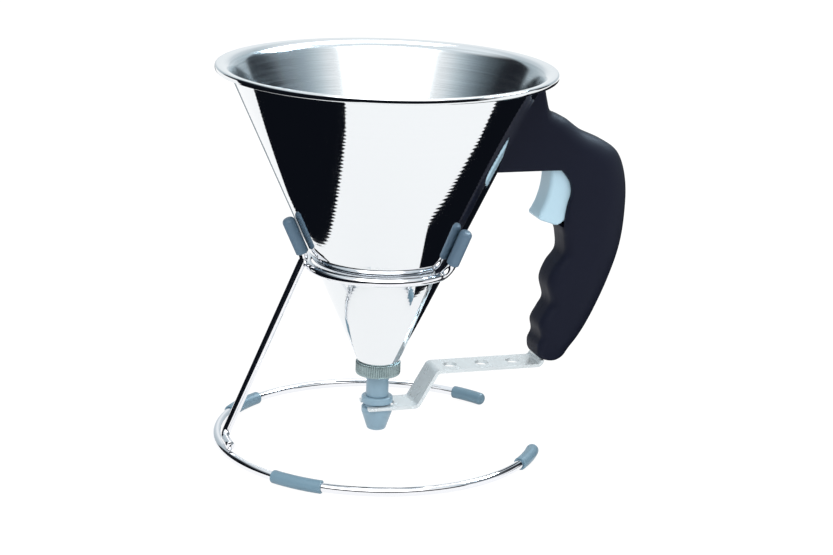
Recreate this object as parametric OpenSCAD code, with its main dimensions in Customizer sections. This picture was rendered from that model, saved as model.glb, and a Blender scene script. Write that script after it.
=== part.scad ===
// Hand-held batter funnel with a trigger valve, standing in a three-point wire stand.
// Millimetres, +Z up, +X towards the handle, origin on the funnel's axis at worktop level.

/* [Funnel] */
// Inside radius of the funnel's mouth, where the cone meets the lip
mouth_r = 68.5; // [60:0.5:90]
// Width of the lip from the mouth to the outside of the rolled bead
lip_w = 6.5; // [5:0.1:8]
// Radius of the rolled bead's section
bead_r = 1.3; // [1:0.1:2]
// Height of the top of the rolled bead above the worktop
rim_top_z = 172.8; // [150:0.1:215]
// Thickness of the cone's sheet steel
sheet_t = 1; // [0.8:0.1:1.5]
// Height of the cone's lower end above the worktop
cone_bottom_z = 38.25; // [36:0.25:44]

/* [Spout and valve] */
// Outside radius of the threaded spout
spout_r = 8.25; // [7.5:0.05:10]
// Radius of the spout's bore
spout_bore_r = 6; // [5:0.1:7]
// Length of the spout below the cone
spout_drop = 2.15; // [1.5:0.05:4]
// Length of the spout inside the cone
spout_rise = 1.75; // [1:0.05:4]
// Thickness of the flat seal
seal_t = 1; // [0.6:0.1:2]
// Thickness of the valve tube's flange
flange_t = 1.5; // [1:0.1:3]
// Thickness of the nut's lower lip
nut_lip_t = 1.5; // [1:0.1:3]
// Wall of the nut outside its thread
nut_wall = 1.95; // [1.5:0.05:3]
// Depth of the nut's knurling
knurl_depth = 0.35; // [0.1:0.05:0.6]
// Number of ridges round the nut
knurl_count = 60; // [36:1:90]
// Outside radius of the valve tube
tube_r = 5.1; // [4.6:0.1:5.6]
// Length of the valve tube below the nut
tube_drop = 10.5; // [8:0.1:14]
// Outside radius of the stem that the nozzle slides on
stem_r = 4.2; // [3.8:0.1:4.4]
// Length of the stem below the valve tube's shoulder
stem_len = 11.4; // [10:0.1:14]
// Radius of the bore through the tube and stem
bore_r = 3.4; // [3:0.1:3.6]
// Radius of the needle's shaft
needle_r = 1.3; // [1:0.1:1.6]
// Radius of the needle's plug
plug_r = 3; // [2.7:0.1:3.2]

/* [Nozzle] */
// Radius of the nozzle's collar
collar_r = 7.1; // [6.6:0.1:8]
// Height of the collar
collar_h = 3.15; // [2:0.05:4]
// Height of the groove that the fork sits in
groove_h = 2.1; // [1.8:0.05:3]
// Radius of the groove's floor
groove_r = 5.3; // [5.1:0.1:5.6]
// Radius at the top of the nozzle's tip
tip_top_r = 7; // [6.8:0.1:8]
// Radius at the bottom of the nozzle's tip
tip_bottom_r = 4.2; // [3.6:0.1:5]
// Height of the straight part below the groove
tip_land_h = 2.1; // [2:0.1:3]
// Height of the tapered part
tip_taper_h = 8.4; // [7:0.1:10]
// Radius of the outlet
outlet_r = 2.4; // [2:0.1:2.5]
// Radius of the sealing ring's section
ring_section_r = 0.8; // [0.6:0.05:0.8]

/* [Lifting arm] */
// Thickness of the arm's steel strip
arm_t = 1.5; // [1:0.1:2]
// Width of the strip
arm_w = 16; // [15:0.5:20]
// Reach of the fork's tines past the axis
fork_reach = 6; // [5:0.5:9]
// Length of the fork's slot on the handle's side of the axis
fork_depth = 8.1; // [7:0.1:10]
// Distance from the axis to the lower bend
lower_bend_x = 17; // [15:0.5:19]
// Distance from the axis to the upper bend
upper_bend_x = 26.3; // [24:0.5:28]
// Radius of the bends at the strip's middle
arm_bend_r = 2.4; // [1.8:0.1:3.5]
// Radius of the three holes
arm_hole_r = 3.25; // [2:0.05:4]
// Distance between the holes
arm_hole_pitch = 15.2; // [12:0.1:16]
// Distance from the axis to the first hole
arm_hole_x = 34.4; // [33:0.1:36]
// Width of the tab inside the handle
tab_w = 12; // [8:0.5:13]
// Height of the tab above the strip's upper flat
tab_h = 11; // [8:0.5:12]

/* [Handle] */
// Thickness of the handle
handle_w = 20; // [19:0.5:26]
// Wall of the handle's shells
shell_t = 2.4; // [2:0.1:3]
// Distance from the rim's top down to the underside of the handle's head
head_drop = 47.6; // [44:0.1:56]
// Gap between the two shells
split_gap = 0.1; // [0.05:0.05:0.3]
// Radius of the screws' shanks
screw_r = 1.5; // [1.2:0.1:1.6]
// Radius of the screws' heads
screw_head_r = 2.8; // [2.4:0.1:3]
// Radius of the bosses round the screws
boss_r = 3.3; // [3:0.1:3.4]
// Thickness of the bracket's plate and fin
bracket_t = 1.5; // [1:0.1:2]
// Width of the bracket's plate
bracket_w = 13; // [8:0.5:15]

/* [Trigger and push bar] */
// Radius of the trigger's pin
pin_r = 2; // [1.5:0.1:2.5]
// Radius of the trigger's boss
trigger_boss_r = 5; // [4.5:0.1:5.5]
// Full pull of the trigger in degrees
trigger_pull = 12; // [10:0.5:13]
// Travel of the nozzle at a full pull
nozzle_travel = 4; // [3:0.1:4.2]
// Radius of the trigger's nose
nose_r = 2.2; // [1.8:0.1:2.4]
// Width of the push bar
bar_w = 7; // [6:0.5:7]
// Thickness of the push bar
bar_t = 6; // [5:0.5:7]
// Radius of the return spring's coil at the wire's middle
spring_r = 3; // [2.8:0.1:3.2]
// Radius of the return spring's wire
spring_wire_r = 0.4; // [0.3:0.05:0.5]
// Number of turns in the return spring
spring_turns = 7; // [5:1:8]
// Radius of the post inside the spring
post_r = 1.7; // [1.3:0.1:2]

/* [Stand] */
// Radius of the stand's wire
wire_r = 2; // [1.5:0.1:2.5]
// Outside radius of the rubber sleeves and caps
rubber_r = 2.9; // [2.6:0.1:3.4]
// Radius of the base ring at the wire's middle
base_r = 72.4; // [65:0.1:88]
// Half of the base ring's opening in degrees
base_gap_half = 28.5; // [26:0.5:32]
// Height of the cradle ring's middle above the worktop
cradle_z = 83.9; // [75:0.1:92]
// Direction of the two free pads from the handle's plane in degrees
pad_angle = 47; // [40:0.5:52]
// Length of the pads on the cradle
pad_len = 17.5; // [14:0.5:20]
// Length of the wire inside each pad
pad_wire_len = 15.5; // [12:0.5:16]
// Bend radius where the cradle's ends turn up
cradle_bend_r = 6; // [5:0.1:8]
// Bend radius at the leg's knee
knee_bend_r = 5; // [4:0.1:8]
// Length of the leg's foot along the base ring
foot_len = 9; // [5:0.5:12]
// Length of the caps on the base ring's ends in degrees of the ring
end_cap_angle = 16.5; // [12:0.5:20]
// Length of the sleeves on the base ring in degrees of the ring
sleeve_angle = 19; // [12:0.5:24]
// Direction of the sleeves' middles from the leg in degrees
sleeve_turn = 45.5; // [38:0.5:52]

/* [Fits] */
// Radial clearance of a shaft in its hole
running = 0.05; // [0.02:0.01:0.1]
// Gap between parts that rest on or lie beside each other
seat_gap = 0.3; // [0.2:0.05:0.4]
// Gap between pieces fixed to each other
joint_gap = 0.05; // [0.02:0.01:0.1]
// Gap between the cone's surface and the handle
saddle_gap = 0.2; // [0.1:0.05:0.4]

/* [Hidden] */
$fn = 72;

steel = "silver";
chrome = "lightsteelblue";
black_plastic = "#1c1f26";
grey_plastic = "#8ea6ba";
pale_plastic = "#a9bfcd";
rubber_grey = "#7f94a6";

// The cone's wall: inside and outside radius at a height, and its lean
rim_r = mouth_r + lip_w;
bead_z = rim_top_z - bead_r;
cone_top_z = bead_z - 0.2;
cone_bottom_in = spout_r + joint_gap;
cone_slope = (mouth_r - cone_bottom_in) / (cone_top_z - cone_bottom_z);
cone_lean = atan(cone_slope);
wall_x = sheet_t / cos(cone_lean);
function cone_in(z) = cone_bottom_in + cone_slope * (z - cone_bottom_z);
function cone_out(z) = cone_in(z) + wall_x;

// Heights down the valve, each from the piece above it
spout_bottom_z = cone_bottom_z - spout_drop;
seal_z = spout_bottom_z - seal_t;
step_z = seal_z - 3.2;
flange_z = seal_z - flange_t;
nut_z = flange_z - nut_lip_t;
nut_top_z = cone_bottom_z - 0.15;
shoulder_z = nut_z - tube_drop;
stem_z = shoulder_z - stem_len;
nut_bore_r = spout_r + 0.1;
nut_r = nut_bore_r + nut_wall;
flange_r = spout_r - 0.35;
collar_top_z = shoulder_z - 0.1;
groove_top_z = collar_top_z - collar_h;
groove_z = groove_top_z - groove_h;
land_z = groove_z - tip_land_h;
nozzle_z = land_z - tip_taper_h;
nozzle_bore_r = stem_r + running + 0.01;
seat_top_z = stem_z - 0.15;
seat_z = nozzle_z + 1.85;
ring_z = (groove_z + land_z) / 2;
plug_gap = 0.14;

// The handle's own frame starts on the cone's outside, level with the head's underside
head_z = rim_top_z - head_drop;
head_x = cone_out(head_z);

// Place in the handle's frame, from its distance beside the cone's outside and its height
function from_cone(p) = [p[0] + cone_slope * p[1], p[1]];

// Side outline of the handle, from the top of its flange round to the head's underside
flange_points = [for (p = [[3.892, 39.8], [8.533, 33.3], [13.112, 27.6]]) from_cone(p)];
outline_points = concat(flange_points, [
    [29.3, 25.3], [34.3, 23.0], [42.6, 17.2],
    [53.6, 12.2], [61.1, 6.6], [65.3, -3.2], [66.8, -16.7], [65.4, -35.7], [59.5, -55.1],
    [50.1, -74.9], [42.6, -84.7], [38.4, -88.9], [31.7, -90.0], [26.4, -88.4], [25.4, -83.2],
    [26.9, -78.6], [25.9, -72.7], [28.7, -67.0], [31.0, -62.0], [29.1, -53.4], [31.7, -46.0],
    [36.1, -39.6], [35.7, -31.7], [34.6, -26.2], [36.0, -16.0], [37.3, -10.7], [36.2, -5.2],
    [32.2, 0]
]);
outline_tail = [[-12, 0], [2, 39.8]];
outline_steps = 3;

// Pivot, nose, bar and spring places in the handle's frame
pivot = [28.3, 10.8];
nose = [39.3, -18.2];
bar_x = 45.8;
bar_low = -51.2;
guide_z = -41.2;
guide_h = 6;
lug_z = -29.2;
lug_h = 4;
spring_x = 54.8;
spring_seat_z = -47.2;
post_h = 12;
tab_x = 27.2;
flat_drop = 92.8;
bar_foot_x = 34.8;
bar_foot_z = -88.2;
tab_screw_z = -84.6;
screw_places = [from_cone([5.838, 31.3]), from_cone([6.014, 6.6]), [57.3, -2.2], [45.0, -73.2]];
bracket_rise = 3.6;
bracket_h = 34.6;
fin_outline = [
    [6, 37.6], [21.4, 34.6], [22.6, 26.6], [17.0, 24], [13.6, 10], [13.4, 3.8], [-4, 3.8]
];
window_outline = [[tab_x - 0.8, -27], [tab_x - 0.8, 6], [42, 6], [42, -27]];

arm_flat_z = head_z - flat_drop;
arm_low_z = groove_z + 0.1;
tab_mid_x = head_x + tab_x + arm_t / 2;
cavity_half = handle_w / 2 - shell_t;
pin_half = handle_w / 2 - 1;
trigger_half = cavity_half - 0.6;

// Smooth curve through points, steps to each span
function spline_at(a, b, c, d, t) = 0.5 * (2 * b + (c - a) * t
    + (2 * a - 5 * b + 4 * c - d) * t * t + (3 * b - a - 3 * c + d) * t * t * t);
function spline(p, steps) = [
    for (i = [0 : len(p) - 2], k = [0 : steps - 1])
        spline_at(p[max(i - 1, 0)], p[i], p[i + 1], p[min(i + 2, len(p) - 1)], k / steps),
    p[len(p) - 1]
];

// Clockwise outline moved inwards by d, each corner along the mean of its sides' normals
function unit(v) = v / norm(v);
function right_of(v) = [v[1], -v[0]];
function inset(p, d) = [
    for (i = [0 : len(p) - 1])
        let (a = unit(p[i] - p[(i + len(p) - 1) % len(p)]), b = unit(p[(i + 1) % len(p)] - p[i]))
            p[i] + d * unit(right_of(a) + right_of(b))
];
outline = concat(spline(outline_points, outline_steps), outline_tail);

// Strip of thickness t along a path, both sides as one outline
function path_normal(p, i) = right_of(unit(p[min(i + 1, len(p) - 1)] - p[max(i - 1, 0)]));
function ribbon(p, t) = concat(
    [for (i = [0 : len(p) - 1]) p[i] - path_normal(p, i) * t / 2],
    [for (i = [len(p) - 1 : -1 : 0]) p[i] + path_normal(p, i) * t / 2]
);

// Path with each inner corner rounded to radius r by an arc of chords
function corner(a, b, c, r, n) =
    let (u = unit(b - a), v = unit(c - b), turn = atan2(u[0] * v[1] - u[1] * v[0], u * v))
        [for (k = [0 : n])
            let (s = k / n * turn, side = turn > 0 ? 1 : -1, cut = r * tan(abs(turn) / 2))
                b - u * cut + r * sin(abs(s)) * u - side * r * (1 - cos(s)) * right_of(u)];
function rounded(p, r, n) = concat([p[0]],
    [for (i = [1 : len(p) - 2]) each corner(p[i - 1], p[i], p[i + 1], r, n)],
    [p[len(p) - 1]]);

// Extrudes a side view of the handle between two values of Y
module side_plate(y0, y1) {
    translate([head_x, y1, head_z]) rotate([90, 0, 0]) linear_extrude(height = y1 - y0) children();
}

// Straight wire between two points, lapped into the bends at its ends
module rod(a, b, r) {
    d = b - a;
    translate(a - lap * unit(d)) rotate([0, acos(d[2] / norm(d)), atan2(d[1], d[0])])
        cylinder(h = norm(d) + 2 * lap, r = r);
}

// Wire bent round a corner at c, from direction e1 to direction e2, a hair thinner than the straights
module bend(c, e1, e2, bend_r, r) {
    turn = acos(e1 * e2);
    across = unit(e2 - (e1 * e2) * e1);
    middle = c - e1 * bend_r * tan(turn / 2) + across * bend_r;
    axis = cross(-across, e1);
    multmatrix([
        [-across[0], e1[0], axis[0], middle[0]],
        [-across[1], e1[1], axis[1], middle[1]],
        [-across[2], e1[2], axis[2], middle[2]],
        [0, 0, 0, 1]
    ]) rotate_extrude(angle = turn) translate([bend_r, 0]) circle(r = r - lap_step);
}
function bend_cut(e1, e2, bend_r) = bend_r * tan(acos(e1 * e2) / 2);

// Wire bent round the Z axis from one direction to another
module ring_arc(ring_r, z, from, to, r) {
    translate([0, 0, z]) rotate([0, 0, from]) rotate_extrude(angle = to - from)
        translate([ring_r, 0]) circle(r = r);
}

// Solid cone that follows the funnel's outside, grown by a gap
module cone_solid(gap) {
    grow = gap / cos(cone_lean);
    translate([0, 0, cone_bottom_z])
        cylinder(h = bead_z - cone_bottom_z, r1 = cone_out(cone_bottom_z) + grow, r2 = cone_out(bead_z) + grow);
}

// ---- Funnel and valve ----

module funnel_cone() {
    color(steel) rotate_extrude($fn = 96) {
        polygon([
            [cone_in(cone_bottom_z), cone_bottom_z], [cone_out(cone_bottom_z), cone_bottom_z],
            [cone_out(cone_top_z - 1.2), cone_top_z - 1.2], [cone_out(cone_top_z) + 0.8, bead_z - 0.6],
            [rim_r - bead_r, bead_z - 0.6], [rim_r - bead_r, bead_z + 0.4],
            [mouth_r + 1.2, bead_z + 0.4], [cone_in(cone_top_z - 1.6), cone_top_z - 1.6]
        ]);
        translate([rim_r - bead_r, bead_z]) circle(r = bead_r);
    }
}

module funnel_spout() {
    top = cone_bottom_z + spout_rise;
    color(steel) rotate_extrude() polygon([
        [spout_bore_r, spout_bottom_z], [spout_r, spout_bottom_z], [spout_r, top - 0.4],
        [spout_r - 0.4, top], [spout_bore_r + 0.8, top], [spout_bore_r, top - 0.8]
    ]);
}

module spout_seal() {
    color(rubber_grey) translate([0, 0, seal_z + joint_gap / 2]) difference() {
        cylinder(h = seal_t - joint_gap, r = flange_r);
        translate([0, 0, -1]) cylinder(h = seal_t + 2, r = spout_bore_r - 0.3);
    }
}

function knurl(n, r, depth) = [
    for (i = [0 : 2 * n - 1])
        let (a = 180 * i / n, q = i % 2 == 0 ? r : r - depth) [q * cos(a), q * sin(a)]
];

module valve_nut() {
    color("lightgrey") difference() {
        translate([0, 0, nut_z]) linear_extrude(height = nut_top_z - nut_z)
            polygon(knurl(knurl_count, nut_r, knurl_depth));
        translate([0, 0, flange_z - joint_gap]) cylinder(h = nut_top_z, r = nut_bore_r);
        translate([0, 0, nut_z - 1]) cylinder(h = nut_lip_t + 2, r = tube_r + 2 * running);
    }
}

module valve_tube() {
    color(grey_plastic) rotate_extrude() polygon([
        [bore_r, stem_z], [stem_r - 0.3, stem_z], [stem_r, stem_z + 0.3], [stem_r, shoulder_z],
        [tube_r, shoulder_z], [tube_r, flange_z], [flange_r, flange_z], [flange_r, seal_z],
        [bore_r + 1.7, seal_z], [bore_r + 1, seal_z - 1.2], [bore_r + 1, step_z], [bore_r, step_z]
    ]);
}

// The needle hangs from a three-armed star that rests on the tube's inner step
module valve_needle() {
    star_z = step_z + joint_gap;
    tip_z = seat_z + joint_gap;
    taper_h = (plug_r - outlet_r + plug_gap) * (seat_top_z - seat_z) / (nozzle_bore_r - outlet_r);
    color(grey_plastic) {
        rotate_extrude() polygon([
            [0, tip_z - 1.1], [0.8, tip_z - 1.1], [outlet_r - plug_gap, tip_z],
            [plug_r, tip_z + taper_h], [plug_r, tip_z + taper_h + 0.6],
            [needle_r, tip_z + taper_h + 2.2], [needle_r, star_z + 2], [0, star_z + 2.6]
        ]);
        difference() {
            for (a = [0, 120, 240]) rotate([0, 0, a]) translate([0, -0.6, star_z]) cube([bore_r + 2, 1.2, 2]);
            translate([0, 0, star_z - 1]) difference() {
                cylinder(h = 4, r = bore_r + 4);
                translate([0, 0, -1]) cylinder(h = 6, r = bore_r + 1 - joint_gap);
            }
        }
    }
}

// ---- Nozzle, arm and push bar: these slide down together ----

module nozzle() {
    groove_half = ring_section_r + running;
    color(grey_plastic) rotate_extrude() polygon([
        [outlet_r, nozzle_z], [tip_bottom_r - 0.5, nozzle_z], [tip_bottom_r, nozzle_z + 0.5],
        [tip_top_r, land_z], [tip_top_r, groove_z], [groove_r, groove_z],
        [groove_r, groove_top_z], [collar_r - 0.4, groove_top_z], [collar_r, groove_top_z + 0.4],
        [collar_r, collar_top_z - 0.5], [collar_r - 0.5, collar_top_z],
        [nozzle_bore_r + 0.4, collar_top_z], [nozzle_bore_r, collar_top_z - 0.4],
        [nozzle_bore_r, ring_z + groove_half], [nozzle_bore_r + 2 * ring_section_r, ring_z + groove_half],
        [nozzle_bore_r + 2 * ring_section_r, ring_z - groove_half], [nozzle_bore_r, ring_z - groove_half],
        [nozzle_bore_r, seat_top_z], [outlet_r, seat_z]
    ]);
}

module nozzle_ring() {
    color("dimgray") translate([0, 0, ring_z]) rotate_extrude()
        translate([stem_r + running / 2 + ring_section_r, 0]) circle(r = ring_section_r);
}

module lift_arm() {
    low = arm_low_z + arm_t / 2;
    high = arm_flat_z + arm_t / 2;
    path = rounded([
        [-fork_reach, low], [lower_bend_x, low], [upper_bend_x, high],
        [tab_mid_x, high], [tab_mid_x, high + tab_h]
    ], arm_bend_r, 6);
    fork_half = groove_r + 0.2;
    color(steel) difference() {
        translate([0, arm_w / 2, 0]) rotate([90, 0, 0]) linear_extrude(height = arm_w) polygon(ribbon(path, arm_t));
        for (i = [0 : 2]) translate([arm_hole_x + i * arm_hole_pitch, 0, arm_flat_z - 2])
            cylinder(h = arm_t + 4, r = arm_hole_r);
        translate([fork_depth - fork_half, 0, arm_low_z - 2]) cylinder(h = arm_t + 4, r = fork_half);
        translate([-fork_reach - 1, -fork_half, arm_low_z - 2])
            cube([fork_reach + 1 + fork_depth - fork_half, 2 * fork_half, arm_t + 4]);
        for (s = [-1, 1]) translate([tab_mid_x, s * (tab_w + 6) / 2, high + arm_bend_r + 6])
            cube([6, 6, 12], center = true);
        translate([tab_mid_x, 0, head_z + tab_screw_z]) rotate([0, 90, 0])
            cylinder(h = 6, r = screw_r + running, center = true);
    }
}

// The nose's place in the push bar's frame while the trigger turns by an angle
function nose_at(turn) =
    let (d = nose - pivot, drop = nozzle_travel * turn / trigger_pull)
        pivot + [d[0] * cos(turn) - d[1] * sin(turn), d[0] * sin(turn) + d[1] * cos(turn)] + [0, drop];
function ramp_point(turn) =
    let (along = unit(nose_at(turn + 0.5) - nose_at(turn - 0.5)))
        nose_at(turn) + right_of(along) * (nose_r + seat_gap);

module push_bar() {
    ramp = [for (k = [-2 : 2 : trigger_pull + 3]) ramp_point(k)];
    top = ramp[len(ramp) - 1];
    left = bar_x - bar_w / 2;
    right = bar_x + bar_w / 2;
    foot = tab_x + arm_t + joint_gap;
    bar = concat(ramp, [
        [right + 0.6, top[1]], [right + 0.6, lug_z + lug_h + 2], [right, lug_z + lug_h + 1],
        [right, bar_low], [bar_foot_x, bar_low - 29], [bar_foot_x, bar_foot_z], [foot, bar_foot_z],
        [foot, bar_foot_z + 11.2], [left, bar_low + 2], [left, -27.2], [ramp[0][0] - 0.3, ramp[0][1] - 3.2]
    ]);
    color("#dfe4e6") difference() {
        union() {
            side_plate(-bar_t / 2, bar_t / 2) polygon(bar);
            side_plate(-bar_t / 2, bar_t / 2) translate([right - 0.5, lug_z])
                square([spring_x + spring_r + 1 - right + 0.5, lug_h]);
        }
        translate([head_x + foot + 3, 0, head_z + tab_screw_z]) rotate([0, 90, 0])
            cylinder(h = 10, r = screw_r + running, center = true);
    }
}

// The screw comes from the fork's side, through the tab, into the bar's foot
module arm_screw() {
    start = head_x + tab_x + arm_t - 0.4;
    color("gray") translate([start, 0, head_z + tab_screw_z]) rotate([0, 90, 0]) {
        translate([0, 0, -arm_t + 0.4]) cylinder(h = 5.6, r = screw_r);
        translate([0, 0, bar_foot_x - tab_x - arm_t + 0.4 + joint_gap]) cylinder(h = 1.6, r = screw_head_r);
        cylinder(h = bar_foot_x - tab_x - arm_t + 0.6, r = screw_r);
    }
}

module bar_guide() {
    gap = 0.12;
    left = bar_x - bar_w / 2 - 2.7;
    right = bar_x + bar_w / 2 + 1.3;
    color("#e8e8e2") difference() {
        side_plate(-cavity_half + joint_gap, cavity_half - joint_gap)
            translate([left, guide_z]) square([right - left, guide_h]);
        side_plate(-bar_t / 2 - gap, bar_t / 2 + gap)
            translate([bar_x - bar_w / 2 - gap, guide_z - 1]) square([bar_w + 2 * gap, guide_h + 2]);
    }
}

// Helix swept as rings of six points, flattened at neither end
module return_spring() {
    sides = 6;
    per_turn = 16;
    low = spring_seat_z + spring_wire_r + joint_gap;
    high = lug_z - spring_wire_r - joint_gap;
    n = spring_turns * per_turn;
    pts = [
        for (i = [0 : n], k = [0 : sides - 1])
            let (a = 360 * i / per_turn, b = 360 * k / sides, q = spring_r + spring_wire_r * cos(b))
                [q * cos(a), q * sin(a), low + (high - low) * i / n + spring_wire_r * sin(b)]
    ];
    faces = concat(
        [for (i = [0 : n - 1], k = [0 : sides - 1])
            [i * sides + k, i * sides + (k + 1) % sides, (i + 1) * sides + (k + 1) % sides]],
        [for (i = [0 : n - 1], k = [0 : sides - 1])
            [i * sides + k, (i + 1) * sides + (k + 1) % sides, (i + 1) * sides + k]],
        [[for (k = [sides - 1 : -1 : 0]) k], [for (k = [0 : sides - 1]) n * sides + k]]
    );
    color("silver") translate([head_x + spring_x, 0, head_z]) polyhedron(pts, faces);
}

// ---- Trigger ----

module trigger() {
    front = spline([
        [25.0, 7.2], [27.6, 1.4], [27.9, -4.6], [27.0, -10.6], [25.2, -15.9], [22.7, -19.4],
        [20.9, -20.9], [20.5, -22.1]
    ], 3);
    back = [
        [25.5, -23.9], [31.7, -26.1], [33.6, -23.8], [35.6, -20.6], [nose[0] - 0.6, nose[1] - nose_r + 0.1],
        [nose[0] + 0.2, nose[1] + nose_r - 0.1], [36.3, -13.6], [35.2, -3.2], [33.0, 8.8]
    ];
    color(pale_plastic) difference() {
        union() {
            side_plate(-trigger_half, trigger_half) polygon(concat(front, back));
            side_plate(-trigger_half, trigger_half) translate(pivot) circle(r = trigger_boss_r);
            side_plate(-trigger_half, trigger_half) translate(nose) circle(r = nose_r, $fn = 36);
        }
        side_plate(-handle_w, handle_w) translate(pivot) circle(r = pin_r + running);
    }
}

module trigger_pin() {
    color("gray") side_plate(-pin_half, pin_half) translate(pivot) circle(r = pin_r);
}

// ---- Handle ----

// Plate welded to the cone, with a fin that both shells are screwed to
module handle_bracket() {
    fin = bracket_t / 2;
    color(steel) difference() {
        union() {
            intersection() {
                difference() {
                    cone_solid(joint_gap + bracket_t);
                    cone_solid(joint_gap);
                }
                translate([0, -bracket_w / 2, head_z + bracket_rise]) cube([rim_r, bracket_w, bracket_h]);
            }
            difference() {
                side_plate(-fin, fin) polygon(fin_outline);
                cone_solid(joint_gap + bracket_t / 2);
            }
        }
        for (p = [screw_places[0], screw_places[1]])
            side_plate(-5, 5) translate(p) circle(r = screw_r + 2 * running);
    }
}

// One half of the handle on the +Y side, its edges stepped towards the face
module half_shell(head_side) {
    inner = inset(outline, shell_t);
    half = handle_w / 2;
    steps = [[half - 4.6, 0], [half - 2.6, 0.5], [half - 1.1, 1.3], [half, 2.8]];
    split = split_gap / 2;
    difference() {
        union() {
            difference() {
                for (s = steps) side_plate(split, s[0]) polygon(inset(outline, s[1]));
                difference() {
                    side_plate(-1, cavity_half) polygon(inner);
                    cone_solid(saddle_gap + shell_t + 0.6);
                }
            }
            for (i = [0 : 3]) {
                low = i < 2 ? bracket_t / 2 + joint_gap : split;
                side_plate(low, cavity_half + 0.5) translate(screw_places[i]) circle(r = boss_r);
            }
            // Shelf under the spring, and its post
            side_plate(split, cavity_half + 0.5)
                translate([spring_x - spring_r - 2, spring_seat_z - 3]) square([2 * spring_r + 5.4, 3]);
            // Ledge under the bar's guide
            side_plate(bar_t / 2 + 1, cavity_half + 0.5)
                translate([bar_x - bar_w / 2 - 2.7, guide_z - joint_gap - 2]) square([bar_w + 4, 2]);
        }
        cone_solid(saddle_gap);
        // Room for the bracket's plate and fin
        intersection() {
            cone_solid(joint_gap + bracket_t + saddle_gap);
            translate([0, -bracket_w, head_z + bracket_rise - seat_gap])
                cube([rim_r, 1.5 * bracket_w + saddle_gap, bracket_h + 2 * seat_gap]);
        }
        side_plate(-1, bracket_t / 2 + joint_gap) polygon(inset(fin_outline, -seat_gap));
        // Openings for the trigger and for the arm's tab
        side_plate(-1, cavity_half) polygon(window_outline);
        side_plate(-1, tab_w / 2 + seat_gap)
            translate([tab_x - seat_gap, -flat_drop - 2])
                square([arm_t + 2 * seat_gap, 2 + arm_t / 2 + tab_h + 2 * seat_gap]);
        side_plate(-1, bar_t / 2 + seat_gap)
            translate([tab_x + arm_t + joint_gap - seat_gap, -flat_drop - 2])
                square([bar_foot_x - tab_x + 2.2, 22]);
        // Blind hole for the trigger's pin
        side_plate(-1, pin_half + joint_gap) translate(pivot) circle(r = pin_r + joint_gap);
        for (p = screw_places) {
            if (head_side) {
                side_plate(-1, half + 1) translate(p) circle(r = screw_r + 2 * running);
                side_plate(half - 2.1, half + 1) translate(p) circle(r = screw_head_r + 0.15);
            } else {
                side_plate(-1, half - 2) translate(p) circle(r = screw_r + running);
            }
        }
    }
}

module handle_shell_left() {
    color(black_plastic) mirror([0, 1, 0]) half_shell(false);
}

module handle_shell_right() {
    color(black_plastic) {
        half_shell(true);
        intersection() {
            translate([head_x + spring_x, 0, head_z + spring_seat_z - 0.5]) cylinder(h = post_h + 0.5, r = post_r);
            side_plate(split_gap / 2, handle_w) square([2 * spring_x, -2 * spring_seat_z], center = true);
        }
    }
}

module handle_screws() {
    half = handle_w / 2;
    color("dimgray") for (p = screw_places) {
        side_plate(-half + 2.4, half - 2) translate(p) circle(r = screw_r);
        difference() {
            side_plate(half - 2.05, half - 0.45) translate(p) circle(r = screw_head_r);
            side_plate(half - 1.2, half + 1) translate(p) square([3.6, 0.7], center = true);
            side_plate(half - 1.2, half + 1) translate(p) square([0.7, 3.6], center = true);
        }
    }
}

// ---- Stand ----

base_z = rubber_r;
touch = 2 * wire_r + joint_gap;
lap = 0.3;
lap_step = 0.03;

// Pads lie along the cone; each end of the cradle ring turns up into one
pad_off = (rubber_r + seat_gap) / cos(cone_lean);
cradle_up_z = cradle_z + cradle_bend_r * cos(cone_lean);
cradle_pad_r = cone_out(cradle_up_z) + pad_off;
cradle_r = sqrt(pow(cradle_pad_r, 2) - pow(cradle_bend_r, 2)) - cradle_bend_r * sin(cone_lean);
cradle_end = pad_angle + atan(cradle_bend_r / (cradle_r + cradle_bend_r * sin(cone_lean)));

function up_cone(angle) = [cos(angle) * sin(cone_lean), sin(angle) * sin(cone_lean), cos(cone_lean)];
function cradle_corner(side) =
    [cradle_r * cos(cradle_end), side * cradle_r * sin(cradle_end), cradle_z]
    + cradle_bend_r * [sin(cradle_end), -side * cos(cradle_end), 0];
function cradle_heading(side) = [sin(cradle_end), -side * cos(cradle_end), 0];

// The leg stands on the base ring's inner shoulder and passes the cradle ring's outside
foot_in = 1.5;
foot_bend_r = 2 * wire_r;
foot_r = base_r - foot_in;
foot_z = base_z + touch;
reach_x = foot_r - cradle_r;
reach_z = cradle_z - foot_z;
leg_lean = acos(touch / norm([reach_x, reach_z])) - atan2(reach_z, reach_x);
leg_up = [sin(leg_lean), 0, cos(leg_lean)];
leg_rise = (foot_r - cone_out(foot_z) - pad_off) / (sin(leg_lean) + cone_slope * cos(leg_lean));
foot_point = [-foot_r, 0, foot_z];
knee_point = foot_point + leg_rise * leg_up;
pad_start = bend_cut(leg_up, up_cone(180), knee_bend_r);

module base_ring() {
    color(chrome) ring_arc(base_r, base_z, base_gap_half + 1.5, 360 - base_gap_half - 1.5, wire_r);
}

module stand_leg() {
    foot_heading = [0, -1, 0];
    foot_cut = bend_cut(-leg_up, foot_heading, foot_bend_r);
    color(chrome) {
        rod(foot_point + leg_up * foot_cut, knee_point - leg_up * pad_start, wire_r);
        bend(foot_point, -leg_up, foot_heading, foot_bend_r, wire_r);
        rod(foot_point + foot_heading * foot_cut, foot_point + foot_heading * (foot_cut + foot_len), wire_r);
        bend(knee_point, leg_up, up_cone(180), knee_bend_r, wire_r);
        rod(knee_point + up_cone(180) * pad_start,
            knee_point + up_cone(180) * (pad_start + pad_wire_len - lap), wire_r);
    }
}

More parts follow.
